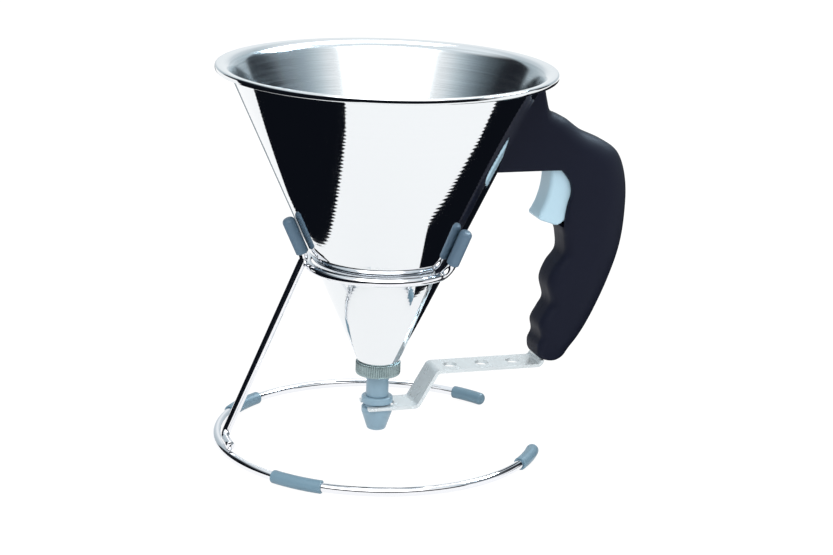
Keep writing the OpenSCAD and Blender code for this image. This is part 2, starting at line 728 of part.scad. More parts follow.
module cradle_ring() {
    color(chrome) {
        lap_turn = lap / cradle_r * 180 / PI;
        ring_arc(cradle_r, cradle_z, cradle_end - lap_turn, 360 - cradle_end + lap_turn, wire_r);
        for (side = [-1, 1]) {
            up = up_cone(side * cradle_end);
            corner_point = cradle_corner(side);
            bend(corner_point, cradle_heading(side), up, cradle_bend_r, wire_r);
            rod(corner_point + cradle_bend_r * up,
                corner_point + (cradle_bend_r + pad_wire_len - lap) * up, wire_r);
        }
    }
}

// Rubber pad with a closed, rounded top, along direction d from point p
module pad(p, d) {
    color(rubber_grey) translate(p) rotate([0, acos(d[2]), atan2(d[1], d[0])]) rotate_extrude() {
        polygon([
            [wire_r + joint_gap, 0], [rubber_r - 0.4, 0], [rubber_r, 0.4], [rubber_r, pad_len - 1.2],
            [0, pad_len - 1.2], [0, pad_wire_len + joint_gap], [wire_r + joint_gap, pad_wire_len + joint_gap]
        ]);
        intersection() {
            union() {
                translate([rubber_r - 1.2, pad_len - 1.2]) circle(r = 1.2, $fn = 36);
                translate([0, pad_len - 1.2]) square([rubber_r - 1.2, 1.2]);
            }
            translate([0, pad_len - 1.2]) square([rubber_r, 2]);
        }
    }
}

module leg_pad() {
    pad(knee_point + up_cone(180) * pad_start, up_cone(180));
}

module front_pad() {
    pad(cradle_corner(-1) + cradle_bend_r * up_cone(-cradle_end), up_cone(-cradle_end));
}

module rear_pad() {
    pad(cradle_corner(1) + cradle_bend_r * up_cone(cradle_end), up_cone(cradle_end));
}

// Rubber tube on the base ring, open at both ends
module foot_sleeve(middle) {
    color(rubber_grey) difference() {
        ring_arc(base_r, base_z, middle - sleeve_angle / 2, middle + sleeve_angle / 2, rubber_r);
        ring_arc(base_r, base_z, middle - sleeve_angle / 2 - 1, middle + sleeve_angle / 2 + 1, wire_r + joint_gap);
    }
}

module front_foot_sleeve() {
    foot_sleeve(180 + sleeve_turn);
}

module rear_foot_sleeve() {
    foot_sleeve(180 - sleeve_turn);
}

// Cap on the base ring's rear end, with a round closed tip
module end_cap() {
    tip = base_gap_half + 2.2;
    color(rubber_grey) difference() {
        union() {
            ring_arc(base_r, base_z, tip, base_gap_half + end_cap_angle, rubber_r);
            rotate([0, 0, tip + lap / base_r * 180 / PI]) translate([base_r, 0, base_z])
                sphere(r = rubber_r - lap_step);
        }
        ring_arc(base_r, base_z, base_gap_half + 1.45, base_gap_half + end_cap_angle + 1, wire_r + joint_gap);
    }
}

module rear_end_cap() {
    end_cap();
}

module front_end_cap() {
    mirror([0, 1, 0]) end_cap();
}

funnel_cone();
funnel_spout();
spout_seal();
valve_nut();
valve_tube();
valve_needle();
nozzle();
nozzle_ring();
lift_arm();
push_bar();
arm_screw();
bar_guide();
return_spring();
trigger();
trigger_pin();
handle_bracket();
handle_shell_left();
handle_shell_right();
handle_screws();
base_ring();
stand_leg();
cradle_ring();
leg_pad();
front_pad();
rear_pad();
front_foot_sleeve();
rear_foot_sleeve();
front_end_cap();
rear_end_cap();
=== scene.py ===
"""The looks of a batter funnel with a trigger valve, in its three-point wire stand."""

import logging
import math
from collections.abc import Callable, Sequence
from dataclasses import dataclass
from enum import Enum

import bmesh
import bpy
import numpy as np
from mathutils import Matrix


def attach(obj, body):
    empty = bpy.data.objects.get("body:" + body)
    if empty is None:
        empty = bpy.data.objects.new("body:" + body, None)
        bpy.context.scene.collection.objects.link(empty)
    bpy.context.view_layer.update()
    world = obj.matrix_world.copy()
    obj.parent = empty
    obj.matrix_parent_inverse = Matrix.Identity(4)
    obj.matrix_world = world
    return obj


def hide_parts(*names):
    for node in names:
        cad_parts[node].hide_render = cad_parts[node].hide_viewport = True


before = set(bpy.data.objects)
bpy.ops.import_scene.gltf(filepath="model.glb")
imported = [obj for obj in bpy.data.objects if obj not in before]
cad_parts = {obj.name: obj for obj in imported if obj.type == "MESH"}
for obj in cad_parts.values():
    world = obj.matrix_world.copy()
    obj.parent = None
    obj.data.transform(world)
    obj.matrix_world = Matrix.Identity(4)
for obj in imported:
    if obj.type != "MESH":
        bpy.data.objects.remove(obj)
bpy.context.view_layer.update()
MM = 0.001
MERGE = 1e-7  # Distance in metres within which two points of a surface become one.
SPECK = 1e-8  # Length in metres below which an edge is dropped.
HANDLE_AT = np.array([48.739, 125.2])  # Where the handle's frame starts, (x, z): level with its head's foot.
Tree = bpy.types.NodeTree
Socket = bpy.types.NodeSocket
log = logging.getLogger("dispenser")


# ---- Mesh tools ----


class Side(Enum):
    """Which side of the handle's middle plane a piece lies on."""

    FRONT = -1
    REAR = 1


def unit(vectors: np.ndarray) -> np.ndarray:
    """Vectors of length one: each row over its own length."""
    return vectors / np.maximum(np.linalg.norm(vectors, axis=-1, keepdims=True), 1e-12)


def grid_quads(rows: int, columns: int, wrap_rows: bool = False, wrap_columns: bool = False) -> np.ndarray:
    """Quads of a grid of rows x columns points.

    Args:
        rows: Number of points along the first parameter.
        columns: Number of points along the second parameter.
        wrap_rows: Joins the last row to the first.
        wrap_columns: Joins the last column to the first.

    Returns:
        Vertex numbers, one row of four for each quad.
    """
    i = np.arange(rows if wrap_rows else rows - 1)[:, None]
    j = np.arange(columns if wrap_columns else columns - 1)[None, :]
    i1, j1 = (i + 1) % rows, (j + 1) % columns
    corners = [i * columns + j, i1 * columns + j, i1 * columns + j1, i * columns + j1]
    return np.stack([np.broadcast_to(c, (i.size, j.size)) for c in corners], -1).reshape(-1, 4)


def mesh_piece(name: str, points: np.ndarray, faces: Sequence, finishes: Sequence[bpy.types.Material] = (),
               slots: np.ndarray | None = None) -> bpy.types.Object:
    """Makes an object of a closed surface, merges its doubles and turns its faces outwards.

    Args:
        name: Name of the piece.
        points: Vertices in metres, in the frame's axes.
        faces: Lists of vertex numbers.
        finishes: Materials, in the order of their slots.
        slots: Material slot of each face, or none for the first slot everywhere.

    Returns:
        The new object, smooth shaded.
    """
    mesh = bpy.data.meshes.new(name)
    mesh.from_pydata(points.reshape(-1, 3).tolist(), [], [list(map(int, f)) for f in faces])
    if slots is not None:
        mesh.polygons.foreach_set("material_index", np.asarray(slots, np.int32))
    built = bmesh.new()
    built.from_mesh(mesh)
    bmesh.ops.remove_doubles(built, verts=built.verts, dist=MERGE)
    bmesh.ops.dissolve_degenerate(built, edges=built.edges, dist=SPECK)
    bmesh.ops.recalc_face_normals(built, faces=built.faces)
    built.to_mesh(mesh)
    built.free()
    mesh.polygons.foreach_set("use_smooth", np.ones(len(mesh.polygons), bool))
    for finish in finishes:
        mesh.materials.append(finish)
    piece = bpy.data.objects.new(name, mesh)
    bpy.context.scene.collection.objects.link(piece)
    return piece


def soften(piece: bpy.types.Object, degrees: float) -> None:
    """Shades a piece smoothly, but for the edges that turn by more than an angle."""
    piece.data.polygons.foreach_set("use_smooth", np.ones(len(piece.data.polygons), bool))
    piece.data.set_sharp_from_angle(angle=math.radians(degrees))


def cut(piece: bpy.types.Object, *tools: bpy.types.Object) -> None:
    """Takes closed meshes away from a piece, for good, and deletes them.

    Args:
        piece: The piece that is cut.
        tools: The closed meshes that are taken away.
    """
    for tool in tools:
        modifier = piece.modifiers.new("cut", "BOOLEAN")
        modifier.object, modifier.operation, modifier.solver = tool, "DIFFERENCE", "EXACT"
    bpy.context.view_layer.update()
    shape = bpy.data.meshes.new_from_object(piece.evaluated_get(bpy.context.evaluated_depsgraph_get()))
    piece.modifiers.clear()
    old, piece.data = piece.data, shape
    bpy.data.meshes.remove(old)
    for tool in tools:
        bpy.data.meshes.remove(tool.data)


def prism(name: str, corners: Sequence, low: float, high: float) -> bpy.types.Object:
    """Cutting block: an outline between two values of Y.

    Args:
        name: Name of the block.
        corners: Its outline (x, z), in the handle's frame.
        low: Lower value of Y.
        high: Higher value of Y.

    Returns:
        The block.
    """
    n = len(corners)
    flat = np.asarray(corners, float) + HANDLE_AT
    points = np.concatenate([np.stack([flat[:, 0], np.full(n, y), flat[:, 1]], -1) for y in (low, high)])
    faces = [*grid_quads(2, n, False, True).tolist(), list(range(n)), [2 * n - 1 - k for k in range(n)]]
    return mesh_piece(name, points * MM, faces)


def disc(name: str, centre: tuple, radius: float, low: float, high: float) -> bpy.types.Object:
    """Cutting cylinder along Y, round a centre (x, z) in the handle's frame."""
    a = np.linspace(0, 2 * math.pi, 48, endpoint=False)
    return prism(name, np.array(centre) + radius * np.stack([np.cos(a), np.sin(a)], -1), low, high)


def fillet(rows: Sequence, steps: int, closed: bool = True) -> np.ndarray:
    """Outline with each corner rounded by an arc of its own radius.

    The arc's centre lies on the corner's bisector, and its points turn evenly from one side's normal to the
    other's.

    Args:
        rows: Corners (u, v, radius of the arc); a radius of 0 keeps the corner.
        steps: Spans of each arc.
        closed: Whether the last corner joins the first.

    Returns:
        Points of the rounded outline.
    """
    p = np.asarray([row[:2] for row in rows], float)
    out = []
    for i, (_, _, radius) in enumerate(rows):
        ends = not closed and i in (0, len(p) - 1)
        if radius <= 0 or ends:
            out.append(p[i])
            continue
        back, ahead = unit(p[i - 1] - p[i]), unit(p[(i + 1) % len(p)] - p[i])
        half = math.acos(max(-1.0, min(1.0, float(back @ ahead)))) / 2
        centre = p[i] + unit(back + ahead) * radius / math.sin(half)
        start = p[i] + back * radius / math.tan(half) - centre
        end = p[i] + ahead * radius / math.tan(half) - centre
        a0 = math.atan2(start[1], start[0])
        turn = (math.atan2(end[1], end[0]) - a0 + math.pi) % (2 * math.pi) - math.pi
        a = a0 + turn * np.linspace(0, 1, steps + 1)
        out.extend(centre + radius * np.stack([np.cos(a), np.sin(a)], -1))
    return np.array(out)


def revolve(profile: np.ndarray, segments: int, ripple: Callable | None = None) -> tuple:
    """Closed surface of revolution about Z.

    Each profile point (r, z) goes to (r cos t, r sin t, z); ripple may change r with t.

    Args:
        profile: Closed outline of (r, z), in millimetres.
        segments: Number of points round the axis.
        ripple: Function of (r, t) that gives the radius there, or none.

    Returns:
        Points in metres and the quads.
    """
    t = np.linspace(0, 2 * math.pi, segments, endpoint=False)[:, None]
    r, z = profile[None, :, 0] + 0 * t, profile[None, :, 1] + 0 * t
    if ripple is not None:
        r = ripple(r, t)
    points = np.stack([r * np.cos(t), r * np.sin(t), z], -1)
    return points * MM, grid_quads(segments, len(profile), True, True)


def distances(path: np.ndarray) -> np.ndarray:
    """Distance along a path from its start to each of its points."""
    return np.concatenate([[0], np.cumsum(np.linalg.norm(np.diff(path, axis=0), axis=1))])


def frames_along(path: np.ndarray) -> tuple:
    """Two directions across a path at each point, turned as little as possible from point to point.

    The first is the one before it less its part along the heading, the second stands square on both.

    Args:
        path: Points in millimetres.

    Returns:
        The first and the second direction at each point.
    """
    tangent = unit(np.gradient(path, axis=0))
    across = np.cross(tangent[0], [0.0, 0.0, 1.0])
    if np.linalg.norm(across) < 0.1:
        across = np.cross(tangent[0], [1.0, 0.0, 0.0])
    firsts = []
    for heading in tangent:
        across = unit(across - (across @ heading) * heading)
        firsts.append(across)
    first = np.array(firsts)
    return first, np.cross(tangent, first)


def sweep(path: np.ndarray, radius: np.ndarray, sides: int) -> tuple:
    """Round tube along a path: each path point carries a circle of its own radius.

    Args:
        path: Points in millimetres.
        radius: Radius at each point; 0 closes the tube to a pole.
        sides: Points round the tube.

    Returns:
        Points in metres and the quads.
    """
    first, second = frames_along(path)
    a = np.linspace(0, 2 * math.pi, sides, endpoint=False)[None, :, None]
    ring = np.cos(a) * first[:, None] + np.sin(a) * second[:, None]
    points = path[:, None] + np.asarray(radius)[:, None, None] * ring
    return points * MM, grid_quads(len(path), sides, False, True)


def capped_tube(path: np.ndarray, radius: float, rounding: float, bore: float, depth: float) -> tuple:
    """Rubber sleeve or cap, carried along a path as one closed surface.

    Its outline is a closed loop of (distance along the path, radius): from the bore's mouth at the start out
    along the outside, and back along the bore. A bore that is shorter than the path leaves the far end
    closed.

    Args:
        path: Points in millimetres.
        radius: Outside radius.
        rounding: Radius of the edge round a closed end.
        bore: Radius of the bore.
        depth: How far the bore reaches along the path.

    Returns:
        Points in metres and the quads.
    """
    rim, mouth, bottom, sides = 0.4, 0.15, 0.2, 32
    run = distances(path)
    length = float(run[-1])
    if depth >= length:
        rows = [(length, radius, rim), (length, bore, mouth)]
    else:
        rows = [(length, radius, rounding), (length, 0, 0), (depth, 0, 0), (depth, bore, bottom)]
    loop = fillet([(0, bore, mouth), (0, radius, rim), *rows], 8)
    # Spans longer than 2 mm get points about 1.5 mm apart, so that they can follow a bent path.
    shares = np.linspace(0, 1, 60)[1:-1]
    dense = [loop[0]]
    for a, b in zip(loop, np.roll(loop, -1, 0)):
        span = abs(b[0] - a[0])
        if span > 2:
            dense.extend(a + (b - a) * share for share in shares[:: max(1, int(90 / span))])
        dense.append(b)
    loop = np.array(dense[:-1])
    lines = (path, *frames_along(path))
    at, first, second = (np.stack([np.interp(loop[:, 0], run, v[:, k]) for k in range(3)], -1) for v in lines)
    a = np.linspace(0, 2 * math.pi, sides, endpoint=False)[None, :, None]
    ring = np.cos(a) * first[:, None] + np.sin(a) * second[:, None]
    points = at[:, None] + loop[:, 1][:, None, None] * ring
    return points * MM, grid_quads(len(loop), sides, True, True)


def arc(start: float, end: float, radius: float, z: float, steps: int) -> np.ndarray:
    """Level arc about Z: (radius cos a, radius sin a, z) for a from start to end degrees."""
    a = np.radians(np.linspace(start, end, steps))
    return np.stack([radius * np.cos(a), radius * np.sin(a), np.full(steps, z)], -1)


def round_path(corners: list, radii: list, steps: int = 10) -> np.ndarray:
    """Path in space through corners, each rounded by an arc in the plane of its two sides.

    An arc point is centre + radius (cos a (-n) + sin a e), where e is the first side's heading and n points
    from the corner's side to the arc's centre.

    Args:
        corners: Corner points in millimetres.
        radii: One bend radius for each inner corner.
        steps: Spans of each arc.

    Returns:
        Points along the path.
    """
    p = np.asarray(corners, float)
    out = [p[0]]
    for i, radius in enumerate(radii, 1):
        e1, e2 = unit(p[i] - p[i - 1]), unit(p[i + 1] - p[i])
        turn = math.acos(float(np.clip(e1 @ e2, -1, 1)))
        n = unit(e2 - (e1 @ e2) * e1)
        centre = p[i] - e1 * radius * math.tan(turn / 2) + n * radius
        a = np.linspace(0, turn, steps + 1)[:, None]
        out.extend(centre + radius * (np.sin(a) * e1 - np.cos(a) * n))
    out.append(p[-1])
    return thicken(np.array(out))


def thicken(path: np.ndarray, longest: float = 3.0) -> np.ndarray:
    """The same path with points added where two lie far apart.

    Args:
        path: Points in millimetres.
        longest: Length above which a span is divided evenly.

    Returns:
        The path's points with the new ones among them.
    """
    parts = []
    for a, b in zip(path[:-1], path[1:]):
        n = max(1, int(np.linalg.norm(b - a) / longest))
        parts.append(a + (b - a) * (np.arange(n) / n)[:, None])
    return np.concatenate([*parts, path[-1:]])


def fill_longest(line: np.ndarray, spans: int) -> np.ndarray:
    """The same line with its longest span divided evenly.

    Args:
        line: Points of the line.
        spans: Number of spans that the longest one becomes.

    Returns:
        The line's points with the new ones among them.
    """
    gap = int(np.argmax(np.linalg.norm(np.diff(line, axis=0), axis=1)))
    share = np.linspace(0, 1, spans + 1)[1:-1, None]
    return np.concatenate([line[: gap + 1], line[gap] + share * (line[gap + 1] - line[gap]), line[gap + 1:]])


def spline(points: Sequence, steps: int) -> np.ndarray:
    """Smooth curve through points: each span is the cubic that also leans on its two neighbours.

    Args:
        points: Points that it goes through.
        steps: Number of points for each span.

    Returns:
        Points of the curve, the last one included.
    """
    p = np.asarray(points, float)
    a, b, c, d = p[[0, *range(len(p) - 2)]], p[:-1], p[1:], p[[*range(2, len(p)), len(p) - 1]]
    t = (np.arange(steps) / steps)[None, :, None]
    a, b, c, d = (q[:, None] for q in (a, b, c, d))
    curve = 0.5 * (2 * b + (c - a) * t + (2 * a - 5 * b + 4 * c - d) * t**2 + (3 * b - a - 3 * c + d) * t**3)
    return np.concatenate([curve.reshape(-1, p.shape[1]), p[-1:]])


def rounded_plate(outline: np.ndarray, half: float, radius: np.ndarray, steps: int) -> tuple:
    """Plate between two values of Y with rounded edges.

    Its rings follow the outline moved inwards by radius (1 - sin a), at |y| = half - radius + radius cos a.

    Args:
        outline: Closed outline (x, z) in the handle's frame, clockwise seen along +Y with X to the right.
        half: Half of the plate's thickness.
        radius: Radius of its edges at each point of the outline.
        steps: Spans of each rounded edge.

    Returns:
        Points in metres and the faces, the two flat ones last.
    """
    ahead = unit(np.roll(outline, -1, 0) - outline)
    across = np.stack([ahead[:, 1], -ahead[:, 0]], -1)
    normal = unit(across + np.roll(across, 1, 0))
    a = np.linspace(0, math.pi / 2, steps + 1)[:, None]
    inward = radius * (1 - np.sin(a))
    level = half - radius + radius * np.cos(a)
    inward = np.concatenate([inward, inward[::-1]])
    level = np.concatenate([-level, level[::-1]])
    flat = outline[None] + inward[..., None] * normal[None] + HANDLE_AT
    points = np.stack([flat[..., 0], level, flat[..., 1]], -1)
    n = len(outline)
    ends = [list(range(n)), [(len(level) - 1) * n + k for k in reversed(range(n))]]
    return points * MM, [*grid_quads(len(level), n, False, True).tolist(), *ends]


# ---- Finishes ----


def group_tree(name: str, inputs: dict, outputs: dict) -> tuple:
    """Makes an empty shader node group.

    Args:
        name: Name of the group.
        inputs: Default value of each input, by name.
        outputs: Socket kind of each output, by name.

    Returns:
        The group, its input node and its output node.
    """
    tree = bpy.data.node_groups.new(name, "ShaderNodeTree")
    for label, value in inputs.items():
        tree.interface.new_socket(label, in_out="INPUT", socket_type="NodeSocketFloat").default_value = value
    for label, kind in outputs.items():
        tree.interface.new_socket(label, in_out="OUTPUT", socket_type=kind)
    return tree, tree.nodes.new("NodeGroupInput"), tree.nodes.new("NodeGroupOutput")


def math_node(tree: Tree, operation: str, *values: float | Socket) -> Socket:
    """Math node on numbers or sockets.

    Args:
        tree: Node tree that it goes into.
        operation: Name of the operation.
        values: Its inputs.

    Returns:
        The output socket.
    """
    node = tree.nodes.new("ShaderNodeMath")
    node.operation = operation
    for k, value in enumerate(values):
        if isinstance(value, (int, float)):
            node.inputs[k].default_value = value
        else:
            tree.links.new(value, node.inputs[k])
    return node.outputs[0]


def noise_node(tree: Tree, vector: Socket, scale: float, detail: float, rough: float = 0.5) -> Socket:
    """Noise texture on a vector.

    Args:
        tree: Node tree that it goes into.
        vector: Socket of the coordinates.
        scale: Features to a metre.
        detail: Number of finer layers.
        rough: Strength of the finer layers.

    Returns:
        The socket of the value, from 0 to 1.
    """
    node = tree.nodes.new("ShaderNodeTexNoise")
    node.inputs["Scale"].default_value = scale
    node.inputs["Detail"].default_value = detail
    node.inputs["Roughness"].default_value = rough
    tree.links.new(vector, node.inputs["Vector"])
    return node.outputs["Fac"]


def stretched(tree: Tree, scale: tuple) -> Socket:
    """Object coordinates with each axis scaled by its own factor.

    Args:
        tree: Node tree that it goes into.
        scale: The three factors.

    Returns:
        The socket of the coordinates.
    """
    coordinates = tree.nodes.new("ShaderNodeTexCoord")
    mapping = tree.nodes.new("ShaderNodeMapping")
    mapping.inputs["Scale"].default_value = scale
    tree.links.new(coordinates.outputs["Object"], mapping.inputs["Vector"])
    return mapping.outputs["Vector"]


def turned_lines_group() -> Tree:
    """Height and shine of spun sheet: rings at even heights and the finer lines between them.

    The rings drift up and down a little round the axis, and fade towards the lower end.

    Returns:
        The node group.
    """
    drift_scale, drift_turns = (14, 14, 90), 2.2
    line_scale, line_detail, line_rough = (9, 9, 2600), 3.0, 0.65
    fade_from, fade_to, faded = 0.088, 0.125, 0.35
    tree, start, end = group_tree("turned lines", {"Pitch": 450.0, "Ring": 1.0, "Line": 1.0},
                                  {"Height": "NodeSocketFloat", "Mask": "NodeSocketFloat"})
    coordinates = tree.nodes.new("ShaderNodeTexCoord")
    parts = tree.nodes.new("ShaderNodeSeparateXYZ")
    tree.links.new(coordinates.outputs["Object"], parts.inputs[0])
    drift = noise_node(tree, stretched(tree, drift_scale), 1.0, 1.0)
    phase = math_node(tree, "MULTIPLY_ADD", parts.outputs["Z"], start.outputs["Pitch"],
                      math_node(tree, "MULTIPLY", drift, drift_turns))
    ring = math_node(tree, "SINE", math_node(tree, "MULTIPLY", phase, 2 * math.pi))
    lines = noise_node(tree, stretched(tree, line_scale), 1.0, line_detail, line_rough)
    fade = tree.nodes.new("ShaderNodeMapRange")
    fade.interpolation_type = "SMOOTHSTEP"
    fade.inputs["From Min"].default_value, fade.inputs["From Max"].default_value = fade_from, fade_to
    fade.inputs["To Min"].default_value = faded
    tree.links.new(parts.outputs["Z"], fade.inputs["Value"])
    faded_ring = math_node(tree, "MULTIPLY", ring, fade.outputs[0])
    height = math_node(tree, "MULTIPLY", faded_ring, start.outputs["Ring"])
    height = math_node(tree, "MULTIPLY_ADD", lines, start.outputs["Line"], height)
    tree.links.new(height, end.inputs["Height"])
    tree.links.new(lines, end.inputs["Mask"])
    return tree


def grain_group() -> Tree:
    """Fine speckle of moulded or plated surfaces, with a broad mottle as its mask.

    Returns:
        The node group.
    """
    tree, start, end = group_tree("grain", {"Scale": 3000.0, "Patch": 60.0},
                                  {"Height": "NodeSocketFloat", "Mask": "NodeSocketFloat"})
    coordinates = tree.nodes.new("ShaderNodeTexCoord").outputs["Object"]
    for label, size, detail in (("Height", "Scale", 2.0), ("Mask", "Patch", 3.0)):
        node = tree.nodes.new("ShaderNodeTexNoise")
        node.inputs["Detail"].default_value = detail
        tree.links.new(coordinates, node.inputs["Vector"])
        tree.links.new(start.outputs[size], node.inputs["Scale"])
        tree.links.new(node.outputs["Fac"], end.inputs[label])
    return tree


MASK_RANGE = (0.3, 0.7)  # Values of a mask between which the roughness goes from its least to its most.


@dataclass(frozen=True)
class Finish:
    """What every finish has: its colour, its shine and how they vary over the surface.

    Attributes:
        name: Name of the material.
        colour: Linear red, green and blue.
        roughness: Mean roughness.
        spread: How far the roughness goes up and down.
        tint: Factor on the colour where the mask is highest.
        bump: Height of the relief in metres.
        metallic: 1 for bare metal, 0 for plastic and rubber, between them for satin steel.
    """

    name: str
    colour: tuple
    roughness: float
    spread: float = 0.04
    tint: float = 0.9
    bump: float = 2e-6
    metallic: float = 0.0

    def pattern(self, tree: Tree) -> tuple:
        """The sockets of the relief and of the mask that this finish uses, added to its node tree."""
        raise NotImplementedError

    def dress(self, shader: bpy.types.Node) -> None:
        """Sets what is the same all over the surface on the shader's own sockets; here nothing more."""

    def build(self) -> bpy.types.Material:
        """Makes the material.

        Returns:
            The new material.
        """
        material = bpy.data.materials.new(self.name)
        material.use_nodes = True
        tree = material.node_tree
        shader = tree.nodes["Principled BSDF"]
        shader.inputs["Metallic"].default_value = self.metallic
        self.dress(shader)
        height, mask = self.pattern(tree)
        ramp = tree.nodes.new("ShaderNodeMapRange")
        ramp.inputs["From Min"].default_value, ramp.inputs["From Max"].default_value = MASK_RANGE
        ramp.inputs["To Min"].default_value = self.roughness - self.spread
        ramp.inputs["To Max"].default_value = self.roughness + self.spread
        tree.links.new(mask, ramp.inputs["Value"])
        tree.links.new(ramp.outputs[0], shader.inputs["Roughness"])
        mix = tree.nodes.new("ShaderNodeMix")
        mix.data_type = "RGBA"
        mix.inputs["A"].default_value = (*self.colour, 1)
        mix.inputs["B"].default_value = (*(c * self.tint for c in self.colour), 1)
        tree.links.new(mask, mix.inputs["Factor"])
        tree.links.new(mix.outputs["Result"], shader.inputs["Base Color"])
        bump = tree.nodes.new("ShaderNodeBump")
        bump.inputs["Strength"].default_value = 1.0
        bump.inputs["Distance"].default_value = self.bump
        tree.links.new(height, bump.inputs["Height"])
        tree.links.new(bump.outputs["Normal"], shader.inputs["Normal"])
        return material


@dataclass(frozen=True)
class SpunSteel(Finish):
    """Spun sheet steel: polished or brushed round the axis.

    Attributes:
        metallic: 1, as bare metal has it.
        pitch: Rings to a metre of height.
        ring: Share of the even rings in the relief.
        line: Share of the fine lines.
    """

    metallic: float = 1.0
    pitch: float = 450.0
    ring: float = 1.0
    line: float = 0.5

    def pattern(self, tree: Tree) -> tuple:
        """Rings and lines round the axis.

        Args:
            tree: Node tree that they go into.

        Returns:
            The sockets of the relief and of the mask.
        """
        node = group_node(tree, "turned lines", turned_lines_group)
        for label, value in (("Pitch", self.pitch), ("Ring", self.ring), ("Line", self.line)):
            node.inputs[label].default_value = value
        return node.outputs["Height"], node.outputs["Mask"]


@dataclass(frozen=True)
class Grained(Finish):
    """Moulded plastic, rubber or plated metal with a fine grain.

    Attributes:
        scale: Grains to a metre.
        patch: Broad patches to a metre.
        specular: Strength of the reflection on a non-metal.
    """

    scale: float = 3000.0
    patch: float = 60.0
    specular: float = 0.5

    def dress(self, shader: bpy.types.Node) -> None:
        """Sets the strength of the reflection."""
        shader.inputs["Specular IOR Level"].default_value = self.specular

    def pattern(self, tree: Tree) -> tuple:
        """A fine grain and a broad mottle.

        Args:
            tree: Node tree that they go into.

        Returns:
            The sockets of the relief and of the mask.
        """
        node = group_node(tree, "grain", grain_group)
        node.inputs["Scale"].default_value = self.scale
        node.inputs["Patch"].default_value = self.patch
        return node.outputs["Height"], node.outputs["Mask"]


def group_node(tree: Tree, name: str, build: Callable) -> bpy.types.Node:
    """Places a node group, which is built the first time it is asked for.

    Args:
        tree: Node tree that it goes into.
        name: Name of the group.
        build: Function that makes the group.

    Returns:
        The group's node.
    """
    node = tree.nodes.new("ShaderNodeGroup")
    node.node_tree = bpy.data.node_groups.get(name) or build()
    return node


class Palette:
    """Every finish of the object, each made once, and a darker copy of the rubber for the pads, which holds
    painted shade.
    """

    polished = SpunSteel("polished_steel", (0.835, 0.86, 0.878), 0.05, 0.02, 0.98, 3.2e-6, pitch=560.0,
                         ring=1.0, line=0.25)
    brushed = SpunSteel("brushed_steel", (0.92, 0.97, 1.0), 0.16, 0.05, 0.55, 1.3e-6, ring=0.0, line=1.0)
    chrome = Grained("plated_wire", (0.88, 0.89, 0.92), 0.035, 0.01, 0.98, 1e-7, 1.0, scale=900.0, patch=90.0)
    strip = Grained("satin_strip", (0.70, 0.755, 0.775), 0.26, 0.03, 0.95, 2e-7, 0.40, scale=2500.0,
                    patch=120.0)
    nut = Grained("knurled_nut", (0.36, 0.46, 0.47), 0.25, 0.06, 0.85, 1e-6, 1.0, scale=2600.0, patch=300.0)
    zinc = Grained("zinc_plate", (0.52, 0.53, 0.55), 0.35, 0.08, 0.85, 8e-7, 1.0, scale=2400.0, patch=200.0)
    grip = Grained("grip_plastic", (0.0050, 0.0070, 0.0180), 0.54, 0.05, 1.2, 2.5e-6, scale=2600.0,
                   patch=45.0, specular=0.16)
    trigger = Grained("trigger_plastic", (0.48, 0.68, 0.79), 0.36, 0.04, 0.97, 1.2e-6, scale=1800.0,
                      patch=70.0)
    valve = Grained("valve_plastic", (0.255, 0.385, 0.475), 0.34, 0.05, 0.94, 1.5e-6, scale=1600.0,
                    patch=90.0)
    rubber = Grained("sleeve_rubber", (0.165, 0.280, 0.360), 0.42, 0.06, 0.92, 4e-6, scale=2200.0,
                     patch=110.0)
    # Painted shade: the pads are the sleeves' rubber, painted darker for the shade where they lie against the
    # cone.
    pad = Grained("pad_rubber", (0.098, 0.168, 0.240), 0.42, 0.06, 0.92, 4e-6, scale=2200.0, patch=110.0)
    seal = Grained("seal_rubber", (0.03, 0.03, 0.033), 0.55, 0.05, 0.9, 4e-6, scale=2600.0, patch=110.0)
    inner = Grained("inner_plastic", (0.72, 0.73, 0.70), 0.45, 0.05, 0.95, 2e-6, scale=2000.0, patch=80.0)

    def __init__(self) -> None:
        """Makes every material."""
        for name, finish in list(vars(type(self)).items()):
            if isinstance(finish, Finish):
                setattr(self, name, finish.build())


def place(piece: bpy.types.Object, body: str, slot: str, *nodes: str) -> None:
    """Hangs a piece on its body and hides the CAD nodes that it stands for.

    Args:
        piece: The finished piece.
        body: Body that it moves with.
        slot: Slot of the record for its finish; not used.
        nodes: CAD nodes that it stands for.
    """
    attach(piece, body)
    if nodes:
        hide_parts(*nodes)
    log.info("%s on %s, %d faces", piece.name, body, len(piece.data.polygons))


def paint(node: str, material: bpy.types.Material) -> None:
    """Gives a CAD node, which keeps its own shape, a finish.

    Args:
        node: Name of the node.
        material: Its finish.
    """
    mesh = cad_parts[node].data
    mesh.materials.clear()
    mesh.materials.append(material)
    log.info("%s keeps its own shape", node)


# ---- Sub-assemblies ----


